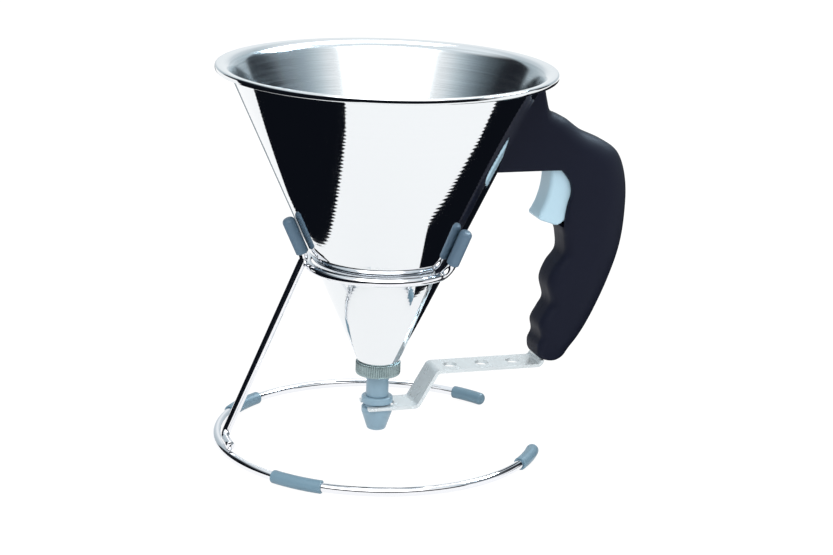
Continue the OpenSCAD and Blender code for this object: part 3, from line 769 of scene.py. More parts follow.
@dataclass
class Cone:
    """The funnel's wall as a line: its radius at any height.

    Attributes:
        bottom_z: Height of the lower end.
        bottom_r: Inside radius there.
        top_z: Height at which the wall meets the lip.
        mouth_r: Inside radius there.
        sheet: Thickness of the sheet.
    """

    bottom_z: float = 38.25
    bottom_r: float = 8.3
    top_z: float = 171.3
    mouth_r: float = 68.5
    sheet: float = 1.0

    @property
    def slope(self) -> float:
        """Change of radius for each millimetre of height."""
        return (self.mouth_r - self.bottom_r) / (self.top_z - self.bottom_z)

    @property
    def lean(self) -> float:
        """Angle between the wall and the axis."""
        return math.atan(self.slope)

    def inside(self, z: float | np.ndarray) -> float | np.ndarray:
        """Inside radius at a height."""
        return self.bottom_r + self.slope * (z - self.bottom_z)

    def outside(self, z: float | np.ndarray, gap: float = 0.0) -> float | np.ndarray:
        """Outside radius at a height, grown by a gap."""
        return self.inside(z) + (self.sheet + gap) / math.cos(self.lean)

    def up(self, angle: float) -> np.ndarray:
        """Direction up the wall at an angle about the axis."""
        c, s = math.cos(angle), math.sin(angle)
        return np.array([c * math.sin(self.lean), s * math.sin(self.lean), math.cos(self.lean)])


@dataclass
class Funnel:
    """The steel cone with its lip and rolled bead, and the threaded spout.

    Attributes:
        cone: The wall's line.
        rim_r: Outside radius of the bead.
        rim_top: Height of the bead's top.
        bead: Radius of the bead's section.
        squareness: Power that flattens the bead's section, 1 for a round one.
        flare: Radius of the bend from the wall to the bead, on the inside.
        neck: How far below the lip the outside starts to bend out.
        under: How far the lip's underside lies below the bead's middle.
        crown: How far the lip's top lies below the bead's.
        segments: Points round the funnel.
    """

    cone: Cone
    rim_r: float = 75.0
    rim_top: float = 172.8
    bead: float = 1.3
    squareness: float = 0.66
    flare: float = 6.7
    neck: float = 1.3
    under: float = 0.65
    crown: float = 0.02
    segments: int = 288

    def wall_profile(self) -> tuple:
        """Outline of the sheet: up the outside, round the lip and bead, and down the inside.

        Returns:
            Points (r, z) and, for each, whether it is on the brushed inside.
        """
        c, straight_spans, polished_points = self.cone, 45, 12
        r, z = self.rim_r - self.bead, self.rim_top - self.bead
        turn, under, crown = c.top_z - self.neck, z - self.under, self.rim_top - self.crown
        outer = fillet([
            (c.inside(c.bottom_z) + 0.35, c.bottom_z + 0.02, 0), (c.outside(c.bottom_z), c.bottom_z, 0.2),
            (c.outside(turn), turn, 2.2), (c.outside(turn) + 1.2, under, 0.5), (r - 0.6, under, 0)],
            10, False)
        spans = (np.linspace(-152, -30, 16), np.linspace(-26, 26, 9), np.linspace(30, 88, 12))
        a = np.radians(np.concatenate(spans))
        square = [np.sign(part) * np.abs(part) ** self.squareness for part in (np.cos(a), np.sin(a))]
        bead = np.array((r, z)) + self.bead * np.stack(square, -1)
        inner = fillet([(r - 0.1, crown, 0), (c.inside(crown), crown, self.flare),
                        (c.inside(c.bottom_z), c.bottom_z, 0)], 18, False)
        inner = fill_longest(inner, straight_spans)
        profile = np.concatenate([fill_longest(outer[1:-1], straight_spans), outer[-1:], bead, inner])
        brushed = np.zeros(len(profile), bool)
        brushed[len(profile) - len(inner) + polished_points:] = True
        return profile, brushed

    def build(self, palette: Palette) -> None:
        """Builds the cone and dresses the spout.

        Args:
            palette: The finishes.
        """
        profile, brushed = self.wall_profile()
        points, quads = revolve(profile, self.segments)
        slots = brushed[quads[:, 0] % len(profile)] & brushed[quads[:, 3] % len(profile)]
        wall = mesh_piece("funnel_wall", points, quads, [palette.polished, palette.brushed], slots)
        place(wall, "dispenser", "funnel_steel", "funnel_cone")
        paint("funnel_spout", palette.polished)
        paint("spout_seal", palette.rubber)


@dataclass
class Valve:
    """Nut, valve tube and sliding nozzle, all turned about the funnel's axis.

    Attributes:
        nut_z: Height of the nut's underside.
        nut_top: Height of its top.
        nut_r: Radius over its ridges.
        nut_bore: Radius of the bore for the flange.
        nut_hole: Radius of the hole in its floor.
        nut_floor: Thickness of the floor.
        ridges: Number of ridges round it.
        ridge_depth: Depth of the grooves between them.
        tube_line: Section of the valve tube, with its flange and shoulder: rows of (r, z, edge radius).
        nozzle_line: Section of the nozzle: tapered tip, straight land, groove for the fork, collar and bore.
    """

    nut_z: float = 32.1
    nut_top: float = 38.1
    nut_r: float = 10.2
    nut_bore: float = 8.35
    nut_hole: float = 5.2
    nut_floor: float = 1.5
    ridges: int = 60
    ridge_depth: float = 0.42
    tube_line: tuple = (
        (3.4, 10.2, 0.15), (4.2, 10.2, 0.4), (4.2, 21.6, 0.2), (5.1, 21.6, 0.3), (5.1, 33.6, 0.2),
        (7.9, 33.6, 0.2), (7.9, 35.1, 0.2), (5.1, 35.1, 0.2), (4.4, 33.9, 0.2), (4.4, 31.9, 0.1),
        (3.4, 31.9, 0.1))
    nozzle_line: tuple = (
        (2.4, 5.8, 0.2), (4.2, 5.8, 0.7), (7.0, 14.2, 0.5), (7.0, 16.3, 0.35), (5.3, 16.3, 0.15),
        (5.3, 18.4, 0.15), (7.1, 18.4, 0.4), (7.1, 21.5, 0.7), (4.26, 21.5, 0.3), (4.26, 16.0, 0.1),
        (5.87, 16.0, 0.1), (5.87, 14.25, 0.1), (4.26, 14.25, 0.1), (4.26, 10.05, 0.2), (2.4, 7.65, 0.2))

    def knurl(self, r: np.ndarray, t: np.ndarray) -> np.ndarray:
        """Radius of the nut with its ridges: r - depth (1 - |sin(n t / 2)|^0.7), less at the chamfers.

        Args:
            r: Radius without them.
            t: Angle about the axis.

        Returns:
            Radius with them.
        """
        wave = np.abs(np.sin(self.ridges * t / 2)) ** 0.7
        fade = np.clip((r - (self.nut_r - 0.75)) / 0.6, 0, 1)
        return r - self.ridge_depth * (1 - wave) * fade

    def nut(self, palette: Palette) -> None:
        """Knurled nut, with rows of points up its side for the ridges.

        Args:
            palette: The finishes.
        """
        low, high, rows, outside = self.nut_z, self.nut_top, 9, 9.0
        loop = fillet([(self.nut_hole, low, 0.2), (self.nut_r - 0.1, low, 0.7), (self.nut_r, high, 0.6),
                       (self.nut_bore, high, 0.2), (self.nut_bore, low + self.nut_floor, 0.2),
                       (self.nut_hole, low + self.nut_floor, 0.2)], 6)
        side = np.stack([np.full(rows, self.nut_r), np.linspace(low + 1.0, high - 0.9, rows)], -1)
        cut_at = int(np.argmax(np.abs(np.diff(loop[:, 1])) * (loop[:-1, 0] > outside)))
        loop = np.concatenate([loop[: cut_at + 1], side, loop[cut_at + 1:]])
        points, quads = revolve(loop, self.ridges * 10, self.knurl)
        place(mesh_piece("knurled_nut", points, quads, [palette.nut]), "nut", "nut_metal", "valve_nut")

    def build(self, palette: Palette) -> None:
        """Builds the valve's turned pieces and dresses the rest.

        Args:
            palette: The finishes.
        """
        self.nut(palette)
        for name, line, steps, segments, body, node in (
                ("valve_body", self.tube_line, 5, 72, "dispenser", "valve_tube"),
                ("sliding_nozzle", self.nozzle_line, 6, 96, "drive", "nozzle")):
            points, quads = revolve(fillet(line, steps), segments)
            place(mesh_piece(name, points, quads, [palette.valve]), body, "valve_plastic", node)
        paint("valve_needle", palette.valve)
        paint("nozzle_ring", palette.seal)
        paint("lift_arm", palette.strip)
        paint("arm_screw", palette.zinc)


@dataclass
class Station:
    """A section of the handle: where it runs and how round its edges are.

    Attributes:
        front: Its lower or front end (x, z), in the handle's frame.
        back: Its upper or back end.
        half: Half of the handle's thickness there.
        front_edge: Radii of the front edge, along and across the section.
        back_edge: Radii of the back edge.
    """

    front: tuple
    back: tuple
    half: float
    front_edge: tuple
    back_edge: tuple


@dataclass
class Handle:
    """The two shells of the handle, with what they hold.

    Attributes:
        cone: The funnel's wall, which the head sits on.
        wall: Wall of the shells.
        split: Half of the gap between the shells.
        saddle: Gap between the head and the cone.
        most_shrink: Largest share of a section that the wall takes off at each end.
        most_edge: Largest share of a section that an edge takes up.
        hug: Number of stations over which the sections' fit to the cone runs out.
        hollow_from: Place on the row of stations where the cavity starts.
        butt: The outline's lowest point, where its front and its back meet.
        stations: Sections of the handle, from the head to the butt.
        outline: Side view of the handle, from the head's top over the back, round the butt and up the front.
        openings: Name, lower and upper corner (x, z) and half width of each opening in the middle plane.
        seats: Middles (x, z) of the screws' seats.
        seat_r: Radius of a seat.
        seat_y: How far a seat's floor and the cutter's end lie from the middle plane.
    """

    cone: Cone
    wall: float = 2.4
    split: float = 0.05
    saddle: float = 0.2
    most_shrink: float = 0.45
    most_edge: float = 0.48
    hug: float = 1.2
    hollow_from: float = 1.6
    butt: tuple = (31.7, -90.0)
    stations: tuple = (
        Station((0.2, 0.0), (18.1, 39.8), 9.9, (2.0, 1.8), (2.5, 2.5)),
        Station((5.0, 0.0), (21.7, 39.5), 9.9, (2.0, 1.8), (3.0, 3.0)),
        Station((11.0, 0.0), (23.6, 33.3), 9.9, (2.0, 1.8), (4.0, 4.0)),
        Station((17.0, 0.0), (27.2, 26.4), 9.9, (2.0, 1.8), (6.0, 5.0)),
        Station((24.0, 0.0), (36.2, 21.7), 9.9, (2.0, 1.8), (8.0, 6.5)),
        Station((31.6, -0.1), (47.9, 14.7), 9.9, (1.2, 1.6), (10.0, 7.5)),
        Station((36.2, -5.4), (61.1, 6.6), 10.0, (1.0, 1.6), (12.0, 8.5)),
        Station((36.9, -14.0), (66.3, -10.0), 10.0, (1.2, 1.8), (13.5, 9.0)),
        Station((34.9, -28.0), (66.3, -27.0), 10.0, (3.6, 4.5), (14.5, 9.2)),
        Station((36.1, -39.6), (63.6, -42.6), 10.0, (4.2, 5.2), (14.0, 9.2)),
        Station((30.6, -48.5), (60.4, -52.7), 10.0, (4.4, 5.4), (13.5, 9.2)),
        Station((30.6, -60.8), (55.0, -65.5), 9.9, (4.4, 5.4), (12.0, 9.0)),
        Station((25.9, -72.7), (48.4, -77.3), 9.9, (4.0, 5.0), (11.0, 8.8)),
        Station((25.4, -83.2), (41.6, -86.0), 9.9, (3.0, 3.6), (8.0, 8.0)),
        Station((28.6, -89.5), (35.9, -89.8), 9.0, (3.0, 3.6), (3.6, 5.2)),
        Station((31.7, -90.0), (31.9, -90.0), 6.9, (0.1, 1.4), (0.1, 1.4)),
    )
    outline: tuple = (
        (21.9, 39.8), (23.6, 33.3), (25.6, 27.6), (29.3, 25.3), (34.3, 23.0), (42.6, 17.2), (53.6, 12.2),
        (61.1, 6.6), (65.3, -3.2), (66.8, -16.7), (65.4, -35.7), (59.5, -55.1), (50.1, -74.9), (42.6, -84.7),
        (38.4, -88.9), (31.7, -90.0), (26.4, -88.4), (25.4, -83.2), (26.9, -78.6), (25.9, -72.7),
        (28.7, -67.0), (31.0, -62.0), (29.1, -53.4), (31.7, -46.0), (36.1, -39.6), (35.7, -31.7),
        (34.6, -26.2), (36.0, -16.0), (37.3, -10.7), (36.2, -5.2), (32.2, 0.0))
    openings: tuple = (
        ("window", (26.4, -27.0), (42.0, 6.0), 7.6),
        ("slot", (26.9, -95.0), (29.0, -80.4), 6.3),
        ("foot", (28.5, -95.0), (38.3, -72.8), 3.3))
    seats: tuple = ((20.0, 31.3), (9.0, 6.6), (57.3, -2.2), (45.0, -73.2))
    seat_r: float = 2.95
    seat_y: tuple = (7.9, 12.0)

    def edges(self, count: int) -> tuple:
        """Front and back end of each section, along the smooth outline.

        Each station's ends are moved to the nearest outline point, and the sections between run evenly along
        the outline.

        Args:
            count: Number of sections.

        Returns:
            Front points, back points, and each section's place on the row of stations.
        """
        steps, spacing = 12, 0.25
        smooth = spline(self.outline, steps)
        butt = steps * self.outline.index(self.butt)
        top = np.concatenate([[self.stations[0].back], smooth[: butt + 1]])
        under = np.concatenate([[(0.0, 0.0)], smooth[: butt - 1: -1]])
        place_at = np.linspace(0, len(self.stations) - 1, count)
        ends = []
        for curve, name in ((under, "front"), (top, "back")):
            curve = thicken(curve, spacing)
            run = distances(curve)
            marks = [getattr(station, name) for station in self.stations]
            keys = [run[int(np.argmin(np.linalg.norm(curve - mark, axis=1)))] for mark in marks]
            keys = np.maximum.accumulate(keys)
            along = np.interp(place_at, np.arange(len(keys)), keys)
            ends.append(np.stack([np.interp(along, run, curve[:, k]) for k in range(2)], -1))
        return ends[0], ends[1], place_at

    @staticmethod
    def smooth_value(values: Sequence, place_at: np.ndarray) -> np.ndarray:
        """A number of the stations at places between them.

        Args:
            values: The number at each station.
            place_at: Places on the row of stations.

        Returns:
            The number at each place, on a smooth curve.
        """
        steps = 8
        fine = spline([(v,) for v in values], steps)[:, 0]
        return np.interp(place_at * steps, np.arange(len(fine)), fine)

    def half_solid(self, count: int = 150, shrink: float = 0.0, first: float = 0.0) -> tuple:
        """Closed half of the handle on the +Y side.

        A section runs from its front end to its back end. At the distance d from an end its height is
        half - b + b sqrt(1 - (1 - d / a)^2), with the edge's radii a and b, and half beyond a. A flat face
        closes the half at the split.

        Args:
            count: Number of sections.
            shrink: Wall to take off all round, for the cavity.
            first: Place of the first section on the row of stations.

        Returns:
            Points in millimetres on a grid, and its quads.
        """
        front, back, place_at = self.edges(count)
        keep = place_at >= first
        front, back, place_at = front[keep], back[keep], place_at[keep]
        chord = back - front
        length = np.linalg.norm(chord, axis=1)
        heading = unit(chord)
        take = np.minimum(shrink, self.most_shrink * length)
        front, back = front + heading * take[:, None], back - heading * take[:, None]
        length = length - 2 * take
        half = np.maximum(self.smooth_value([s.half for s in self.stations], place_at) - shrink, 0.02)
        a0, b0, a1, b1 = (
            self.smooth_value([pair[k] for pair in pairs], place_at)
            for pairs in ([s.front_edge for s in self.stations], [s.back_edge for s in self.stations])
            for k in (0, 1))
        a0, a1 = (np.minimum(a, self.most_edge * length) for a in (a0, a1))
        b0, b1 = (np.minimum(b, half - 0.01) for b in (b0, b1))
        turn = np.linspace(0, math.pi / 2, 11)
        low = self.split if shrink == 0 else -1.0
        rows = [(np.zeros_like(length), np.full_like(length, low))]
        rows += [(a0 * (1 - math.cos(t)), half - b0 + b0 * math.sin(t)) for t in turn]
        middle = np.linspace(0, 1, 12)[1:-1]
        rows += [(a0 + (length - a0 - a1) * f, half) for f in middle]
        rows += [(length - a1 * (1 - math.cos(t)), half - b1 + b1 * math.sin(t)) for t in turn[::-1]]
        rows += [(length, np.full_like(length, low))]
        distance, height = (np.stack(part, 1) for part in zip(*rows))
        flat = front[:, None] + heading[:, None] * distance[..., None] + HANDLE_AT
        skin = np.stack([flat[..., 0], np.maximum(height, low), flat[..., 1]], -1)
        floor = skin.copy()
        floor[..., 1] = low
        grid = np.concatenate([skin, floor[:, ::-1]], 1)
        fit = np.clip(1 - (place_at - first) / self.hug, 0, 1)[:, None]
        bulge = self.cone.outside(grid[..., 2], self.saddle + shrink)
        grid[..., 0] += fit * (np.sqrt(np.maximum(bulge**2 - grid[..., 1] ** 2, 0)) - bulge)
        along, around = grid.shape[:2]
        quads = grid_quads(along, around, False, True)
        caps = [list(range(around)), [along * around - 1 - k for k in range(around)]]
        return grid, [*quads.tolist(), *caps]

    def cone_cutter(self) -> bpy.types.Object:
        """Solid cone that follows the funnel's outside at the saddle's gap.

        Returns:
            The cutting cone, longer than the head both ways.
        """
        z = np.linspace(60.0, 171.0, 40)
        side = np.stack([self.cone.outside(z, self.saddle), z], -1)
        profile = np.concatenate([[(0, z[0])], side, [(0, z[-1])]])
        points, quads = revolve(profile, 288)
        return mesh_piece("cone_cutter", points, quads)

    def shell(self, side: Side, palette: Palette) -> None:
        """One shell: the half solid, less its cavity, the trigger's window, the arm's slot and its holes.

        Args:
            side: Which side of the middle plane it lies on.
            palette: The finishes.
        """
        grid, faces = self.half_solid()
        hollow, hollow_faces = self.half_solid(count=110, shrink=self.wall, first=self.hollow_from)
        flip = np.array([1, side.value, 1])
        piece = mesh_piece(f"grip_{side.name.lower()}", grid * flip * MM, faces, [palette.grip])
        tools = [mesh_piece("cavity", hollow * flip * MM, hollow_faces)]
        for label, (x0, z0), (x1, z1), half in self.openings:
            tools.append(prism(label, [(x0, z0), (x0, z1), (x1, z1), (x1, z0)], -half, half))
        tools.append(self.cone_cutter())
        if side is Side.REAR:
            tools += [disc("screw_seat", centre, self.seat_r, *self.seat_y) for centre in self.seats]
        cut(piece, *tools)
        soften(piece, 38)
        node = "handle_shell_left" if side is Side.FRONT else "handle_shell_right"
        place(piece, "dispenser", "handle_plastic", node)

    def build(self, palette: Palette) -> None:
        """Builds both shells and dresses what they hold.

        Args:
            palette: The finishes.
        """
        for side in Side:
            self.shell(side, palette)
        for node in ("handle_screws", "trigger_pin", "return_spring"):
            paint(node, palette.zinc)
        paint("handle_bracket", palette.strip)
        for node in ("bar_guide", "push_bar"):
            paint(node, palette.inner)


@dataclass
class Trigger:
    """The trigger, moulded in one piece with soft edges.

    Attributes:
        half: Half of its width.
        edge: Radius of its edges at the back and foot.
        front_edge: Radius of its edges along the front.
        pivot: Its axis, (x, z) in the handle's frame.
        boss: Radius of the boss round the axis.
        nose: Middle of the nose that presses on the push bar.
        nose_r: Radius of the nose.
        pin: Radius of the pin's hole.
        back_line: Points down its back, from the boss to the nose.
        foot_line: Points along its foot, from the nose to the toe.
        front_line: Points up its front, from the toe to the boss.
    """

    half: float = 7.0
    edge: float = 1.1
    front_edge: float = 2.2
    pivot: tuple = (28.3, 10.8)
    boss: float = 5.0
    nose: tuple = (39.3, -18.2)
    nose_r: float = 2.2
    pin: float = 2.05
    back_line: tuple = ((35.6, 3.6), (38.0, -3.0), (38.6, -9.0), (38.4, -13.4))
    foot_line: tuple = (
        (38.2, -21.2), (36.6, -22.9), (34.6, -24.6), (33.0, -25.6), (31.2, -25.85), (29.4, -25.2),
        (26.2, -24.1), (24.2, -23.4), (23.1, -22.6), (22.9, -21.7), (23.3, -20.7))
    front_line: tuple = (
        (23.3, -20.7), (23.9, -19.0), (25.4, -15.9), (27.0, -10.6), (27.8, -4.6), (27.5, 1.2), (25.2, 6.4))

    def outline(self) -> tuple:
        """Side view, clockwise: round the boss, down the back to the nose, along the foot and up the front.

        Returns:
            The outline's points, and the radius of the edges at each.
        """
        boss = np.radians(np.linspace(196, -24, 30))
        nose = np.radians(np.linspace(98, -96, 16))
        top = np.array(self.pivot) + self.boss * np.stack([np.cos(boss), np.sin(boss)], -1)
        tip = np.array(self.nose) + self.nose_r * np.stack([np.cos(nose), np.sin(nose)], -1)
        back = spline([top[-1], *self.back_line, tip[0]], 6)
        foot = spline([tip[-1], *self.foot_line], 4)
        front = spline([*self.front_line, top[0]], 6)
        parts = [part[:-1] for part in (top, back, tip, foot, front)]
        step, last, ease_steps = np.arange(len(parts[-1])), len(parts[-1]) - 1, 5
        ease = np.clip(np.minimum(step, last - step) / ease_steps, 0, 1)
        radii = [np.full(len(part), self.edge) for part in parts[:-1]]
        radii.append(self.edge + (self.front_edge - self.edge) * ease)
        return np.concatenate(parts), np.concatenate(radii)

    def build(self, palette: Palette) -> None:
        """Builds the trigger with its pin's hole.

        Args:
            palette: The finishes.
        """
        outline, radii = self.outline()
        points, faces = rounded_plate(outline, self.half, radii, 8)
        piece = mesh_piece("finger_trigger", points, faces, [palette.trigger])
        cut(piece, disc("pin_hole", self.pivot, self.pin, -self.half - 2, self.half + 2))
        soften(piece, 35)
        place(piece, "trigger", "trigger_plastic", "trigger")


@dataclass
class Stand:
    """The chromed wire stand with its rubber pads, sleeves and caps.

    Attributes:
        cone: The funnel's wall, which the pads follow.
        wire: Radius of the wire.
        rubber: Outside radius of the rubber.
        rounding: Radius of the rubber's closed ends.
        fit: Gap between rubber and wire, and between wire and wire.
        seat: Gap between the pads and the cone.
        base_r: Radius of the base ring.
        base_open: Angle from the handle's plane at which the base ring ends, in degrees.
        cradle_z: Height of the cradle ring.
        cradle_bend: Bend from the cradle ring to a pad.
        pad_angle: Direction of the free pads from the handle's plane, in degrees.
        pad_len: Length of a pad.
        pad_wire: Length of the wire in it.
        knee_bend: Bend from the leg to its pad.
        foot_bend: Bend from the leg to its foot.
        foot_len: Straight length of the foot, which lies across the base ring.
        foot_in: How far inside the base ring the leg stands.
        sleeve_at: Angle of the sleeves' middles from the leg, in degrees.
        sleeve_half: Half of the angle that a sleeve covers.
        cap_tip: Angle from the handle's plane to a cap's end, before its rubber is added.
        cap_starts: Angle from the handle's plane at which the front and the rear cap begin.
        end_run: Distances from a wire's end at which its rounding is drawn.
        end_share: Share of the wire's radius at each.
    """

    cone: Cone
    wire: float = 2.0
    rubber: float = 2.9
    rounding: float = 1.9
    fit: float = 0.05
    seat: float = 0.3
    base_r: float = 72.4
    base_open: float = 30.0
    cradle_z: float = 83.9
    cradle_bend: float = 6.0
    pad_angle: float = 47.0
    pad_len: float = 17.5
    pad_wire: float = 15.5
    knee_bend: float = 5.0
    foot_bend: float = 4.0
    foot_len: float = 9.0
    foot_in: float = 1.5
    sleeve_at: float = 45.5
    sleeve_half: float = 9.5
    cap_tip: float = 30.7
    cap_starts: tuple = (45.0, 42.0)
    end_run: tuple = (0.0, 0.02, 0.12, 0.3)
    end_share: tuple = (0.0, 0.86, 0.95, 1.0)

    @property
    def base_z(self) -> float:
        """Height of the base ring, which the rubber holds off the worktop."""
        return self.rubber

    @property
    def pad_off(self) -> float:
        """How far a pad's middle line stands off the cone, measured level."""
        return (self.rubber + self.seat) / math.cos(self.cone.lean)

    @property
    def cradle_r(self) -> float:
        """Radius of the cradle ring, from where its bends bring the pads.

        Returns:
            The radius of the ring's middle line.
        """
        up_z = self.cradle_z + self.cradle_bend * math.cos(self.cone.lean)
        pad_r = self.cone.outside(up_z) + self.pad_off
        return math.sqrt(pad_r**2 - self.cradle_bend**2) - self.cradle_bend * math.sin(self.cone.lean)

    @property
    def cradle_end(self) -> float:
        """Angle at which the cradle ring's arc stops, in radians."""
        reach = self.cradle_r + self.cradle_bend * math.sin(self.cone.lean)
        return math.radians(self.pad_angle) + math.atan(self.cradle_bend / reach)

    def leg_line(self) -> tuple:
        """The leg's straight run, from the foot to the knee, tangent to the cradle ring's outside.

        Returns:
            Foot point, knee point and the direction up the leg.
        """
        touch = 2 * self.wire + self.fit
        foot = np.array([-(self.base_r - self.foot_in), 0.0, self.base_z + touch])
        reach = (-foot[0] - self.cradle_r, self.cradle_z - foot[2])
        lean = math.acos(touch / math.hypot(*reach)) - math.atan2(reach[1], reach[0])
        up = np.array([math.sin(lean), 0.0, math.cos(lean)])
        rise = (-foot[0] - self.cone.outside(foot[2]) - self.pad_off) / (up[0] + self.cone.slope * up[2])
        return foot, foot + rise * up, up

    def tube(self, name: str, path: np.ndarray, palette: Palette, node: str) -> None:
        """A wire with softly rounded ends.

        Args:
            name: Name of the piece.
            path: Its middle line in millimetres.
            palette: The finishes.
            node: CAD node that it stands for.
        """
        run, share = np.array(self.end_run)[:, None], np.array(self.end_share)
        starts = path[0] + unit(path[1] - path[0]) * run
        stops = path[-1] + unit(path[-2] - path[-1]) * run[::-1]
        line = np.concatenate([starts, path[1:-1], stops])
        radius = self.wire * np.concatenate([share, np.ones(len(path) - 2), share[::-1]])
        points, quads = sweep(line, radius, 36)
        place(mesh_piece(name, points, quads, [palette.chrome]), "stand", "wire_chrome", node)

    def rubber_piece(self, name: str, path: np.ndarray, rubber: bpy.types.Material, node: str,
                     depth: float) -> None:
        """A pad, sleeve or cap.

        Args:
            name: Name of the piece.
            path: Its middle line in millimetres.
            rubber: Its finish.
            node: CAD node that it stands for.
            depth: How far its bore reaches along the path.
        """
        points, quads = capped_tube(path, self.rubber, self.rounding, self.wire + self.fit, depth)
        place(mesh_piece(name, points, quads, [rubber]), "stand", "rubber", node)

    def leg(self, palette: Palette) -> tuple:
        """The leg: foot across the base ring, straight run, and a bend at the knee into its pad.

        Args:
            palette: The finishes.

        Returns:
            Where its pad starts and the direction up the pad.
        """
        foot, knee, up = self.leg_line()
        rise = self.cone.up(math.pi)
        level = np.array([0.0, -1.0, 0.0])
        pad_from = self.knee_bend * math.tan(math.acos(float(up @ rise)) / 2)
        toe_cut = self.foot_bend * math.tan(math.acos(float(-up @ level)) / 2)
        toe = foot + (toe_cut + self.foot_len) * level
        corners = [toe, foot, knee, knee + rise * (pad_from + self.pad_wire)]
        self.tube("leg_wire", round_path(corners, [self.foot_bend, self.knee_bend]), palette, "stand_leg")
        return knee + rise * pad_from, rise

    def cradle(self, palette: Palette) -> dict:
        """The cradle ring, whose two ends bend up the cone into their pads.

        Args:
            palette: The finishes.

        Returns:
            Where the pad of each side starts and the direction up the pad.
        """
        ends, pads, corners = self.cradle_end, {}, {}
        for side in Side:
            rise = self.cone.up(side.value * ends)
            c, s = math.cos(ends), side.value * math.sin(ends)
            corner = np.array([self.cradle_r * c, self.cradle_r * s, self.cradle_z])
            corner += self.cradle_bend * np.array([math.sin(ends), -side.value * c, 0.0])
            pads[side] = (corner + self.cradle_bend * rise, rise)
            corners[side] = (corner, pads[side][0] + self.pad_wire * rise)
        degrees = math.degrees(ends)
        ring = arc(degrees, 360 - degrees, self.cradle_r, self.cradle_z, 140)
        bend = [self.cradle_bend - 0.01]
        first = round_path([corners[Side.REAR][1], corners[Side.REAR][0], ring[0]], bend)
        last = round_path([ring[-1], *corners[Side.FRONT]], bend)
        self.tube("cradle_wire", np.concatenate([first[:-1], ring, last[1:]]), palette, "cradle_ring")
        return pads

    def foot_rubber(self, side: Side, palette: Palette) -> None:
        """The sleeve and the end cap of one side of the base ring.

        Args:
            side: Which side of the handle's plane they lie on.
            palette: The finishes.
        """
        where, sign = side.name.lower(), side.value
        middle = 180 - sign * self.sleeve_at
        path = arc(middle - self.sleeve_half, middle + self.sleeve_half, self.base_r, self.base_z, 24)
        self.rubber_piece(f"sleeve_{where}", path, palette.rubber, f"{where}_foot_sleeve", math.inf)
        tip = self.cap_tip - math.degrees(self.rubber / self.base_r)
        start = self.cap_starts[0] if side is Side.FRONT else self.cap_starts[1]
        path = arc(sign * tip, sign * start, self.base_r, self.base_z, 24)[::-1]
        depth = self.base_r * math.radians(start - self.base_open) + self.fit
        self.rubber_piece(f"cap_{where}", path, palette.rubber, f"{where}_end_cap", depth)

    def build(self, palette: Palette) -> None:
        """Builds the wires and the rubber.

        Args:
            palette: The finishes.
        """
        base = arc(self.base_open, 360 - self.base_open, self.base_r, self.base_z, 200)
        self.tube("ring_wire", base, palette, "base_ring")
        pads = {"leg": self.leg(palette)}
        pads |= {side.name.lower(): pad for side, pad in self.cradle(palette).items()}
        for where, (start, rise) in pads.items():
            path = thicken(np.array([start, start + self.pad_len * rise]), 1.5)
            # The pads take the darker copy of the rubber, whose colour holds painted shade.
            self.rubber_piece(f"pad_{where}", path, palette.pad, f"{where}_pad", self.pad_wire + self.fit)
        for side in Side:
            self.foot_rubber(side, palette)


# ---- Studio ----

# Colours of the room's walls as mirrors see them, from the camera's side (0) round to the far side (1).
WALLS = (
    (0.0, (1.0, 1.0, 1.0)), (0.17, (1.0, 1.0, 1.0)), (0.21, (0.90, 0.93, 0.95)), (0.28, (0.58, 0.66, 0.70)),
    (0.38, (0.29, 0.35, 0.39)), (0.50, (0.115, 0.145, 0.165)), (0.62, (0.042, 0.053, 0.063)),
    (0.70, (0.017, 0.020, 0.026)), (0.845, (0.017, 0.020, 0.026)), (0.87, (0.44, 0.51, 0.55)),
    (0.94, (0.52, 0.59, 0.63)), (0.985, (0.66, 0.72, 0.76)), (1.0, (0.90, 0.94, 0.96)))
# Colours of the layers over the walls, and the share of the first.
SIDE_LIGHT, SIDE_SHARE = (0.9, 0.95, 1.0), 0.08
DARK, WINDOW, ROOF = (0.010, 0.012, 0.018), (0.95, 0.97, 1.0), (0.90, 0.95, 0.98)
# The world's even light on the object, what the eye sees behind it, and the light of the crest's lamp.
EVEN_LIGHT, WHITE, CREST_LIGHT = (0.86, 0.87, 0.88), (1.0, 1.0, 1.0), (0.70, 0.88, 1.0)
# The floor: its colour in the light, its own glow, and the glow's share to the eye and to mirrors.
FLOOR_COLOUR, FLOOR_GLOW, FLOOR_PLAIN = (0.86, 0.86, 0.87), 1.075, 0.88
FLOOR = ((-4, -4), (4, -4), (4, 4), (-4, 4))
BLACK, GREY, CARD_Z = (0.004, 0.005, 0.008), (0.27, 0.31, 0.34), 0.0002
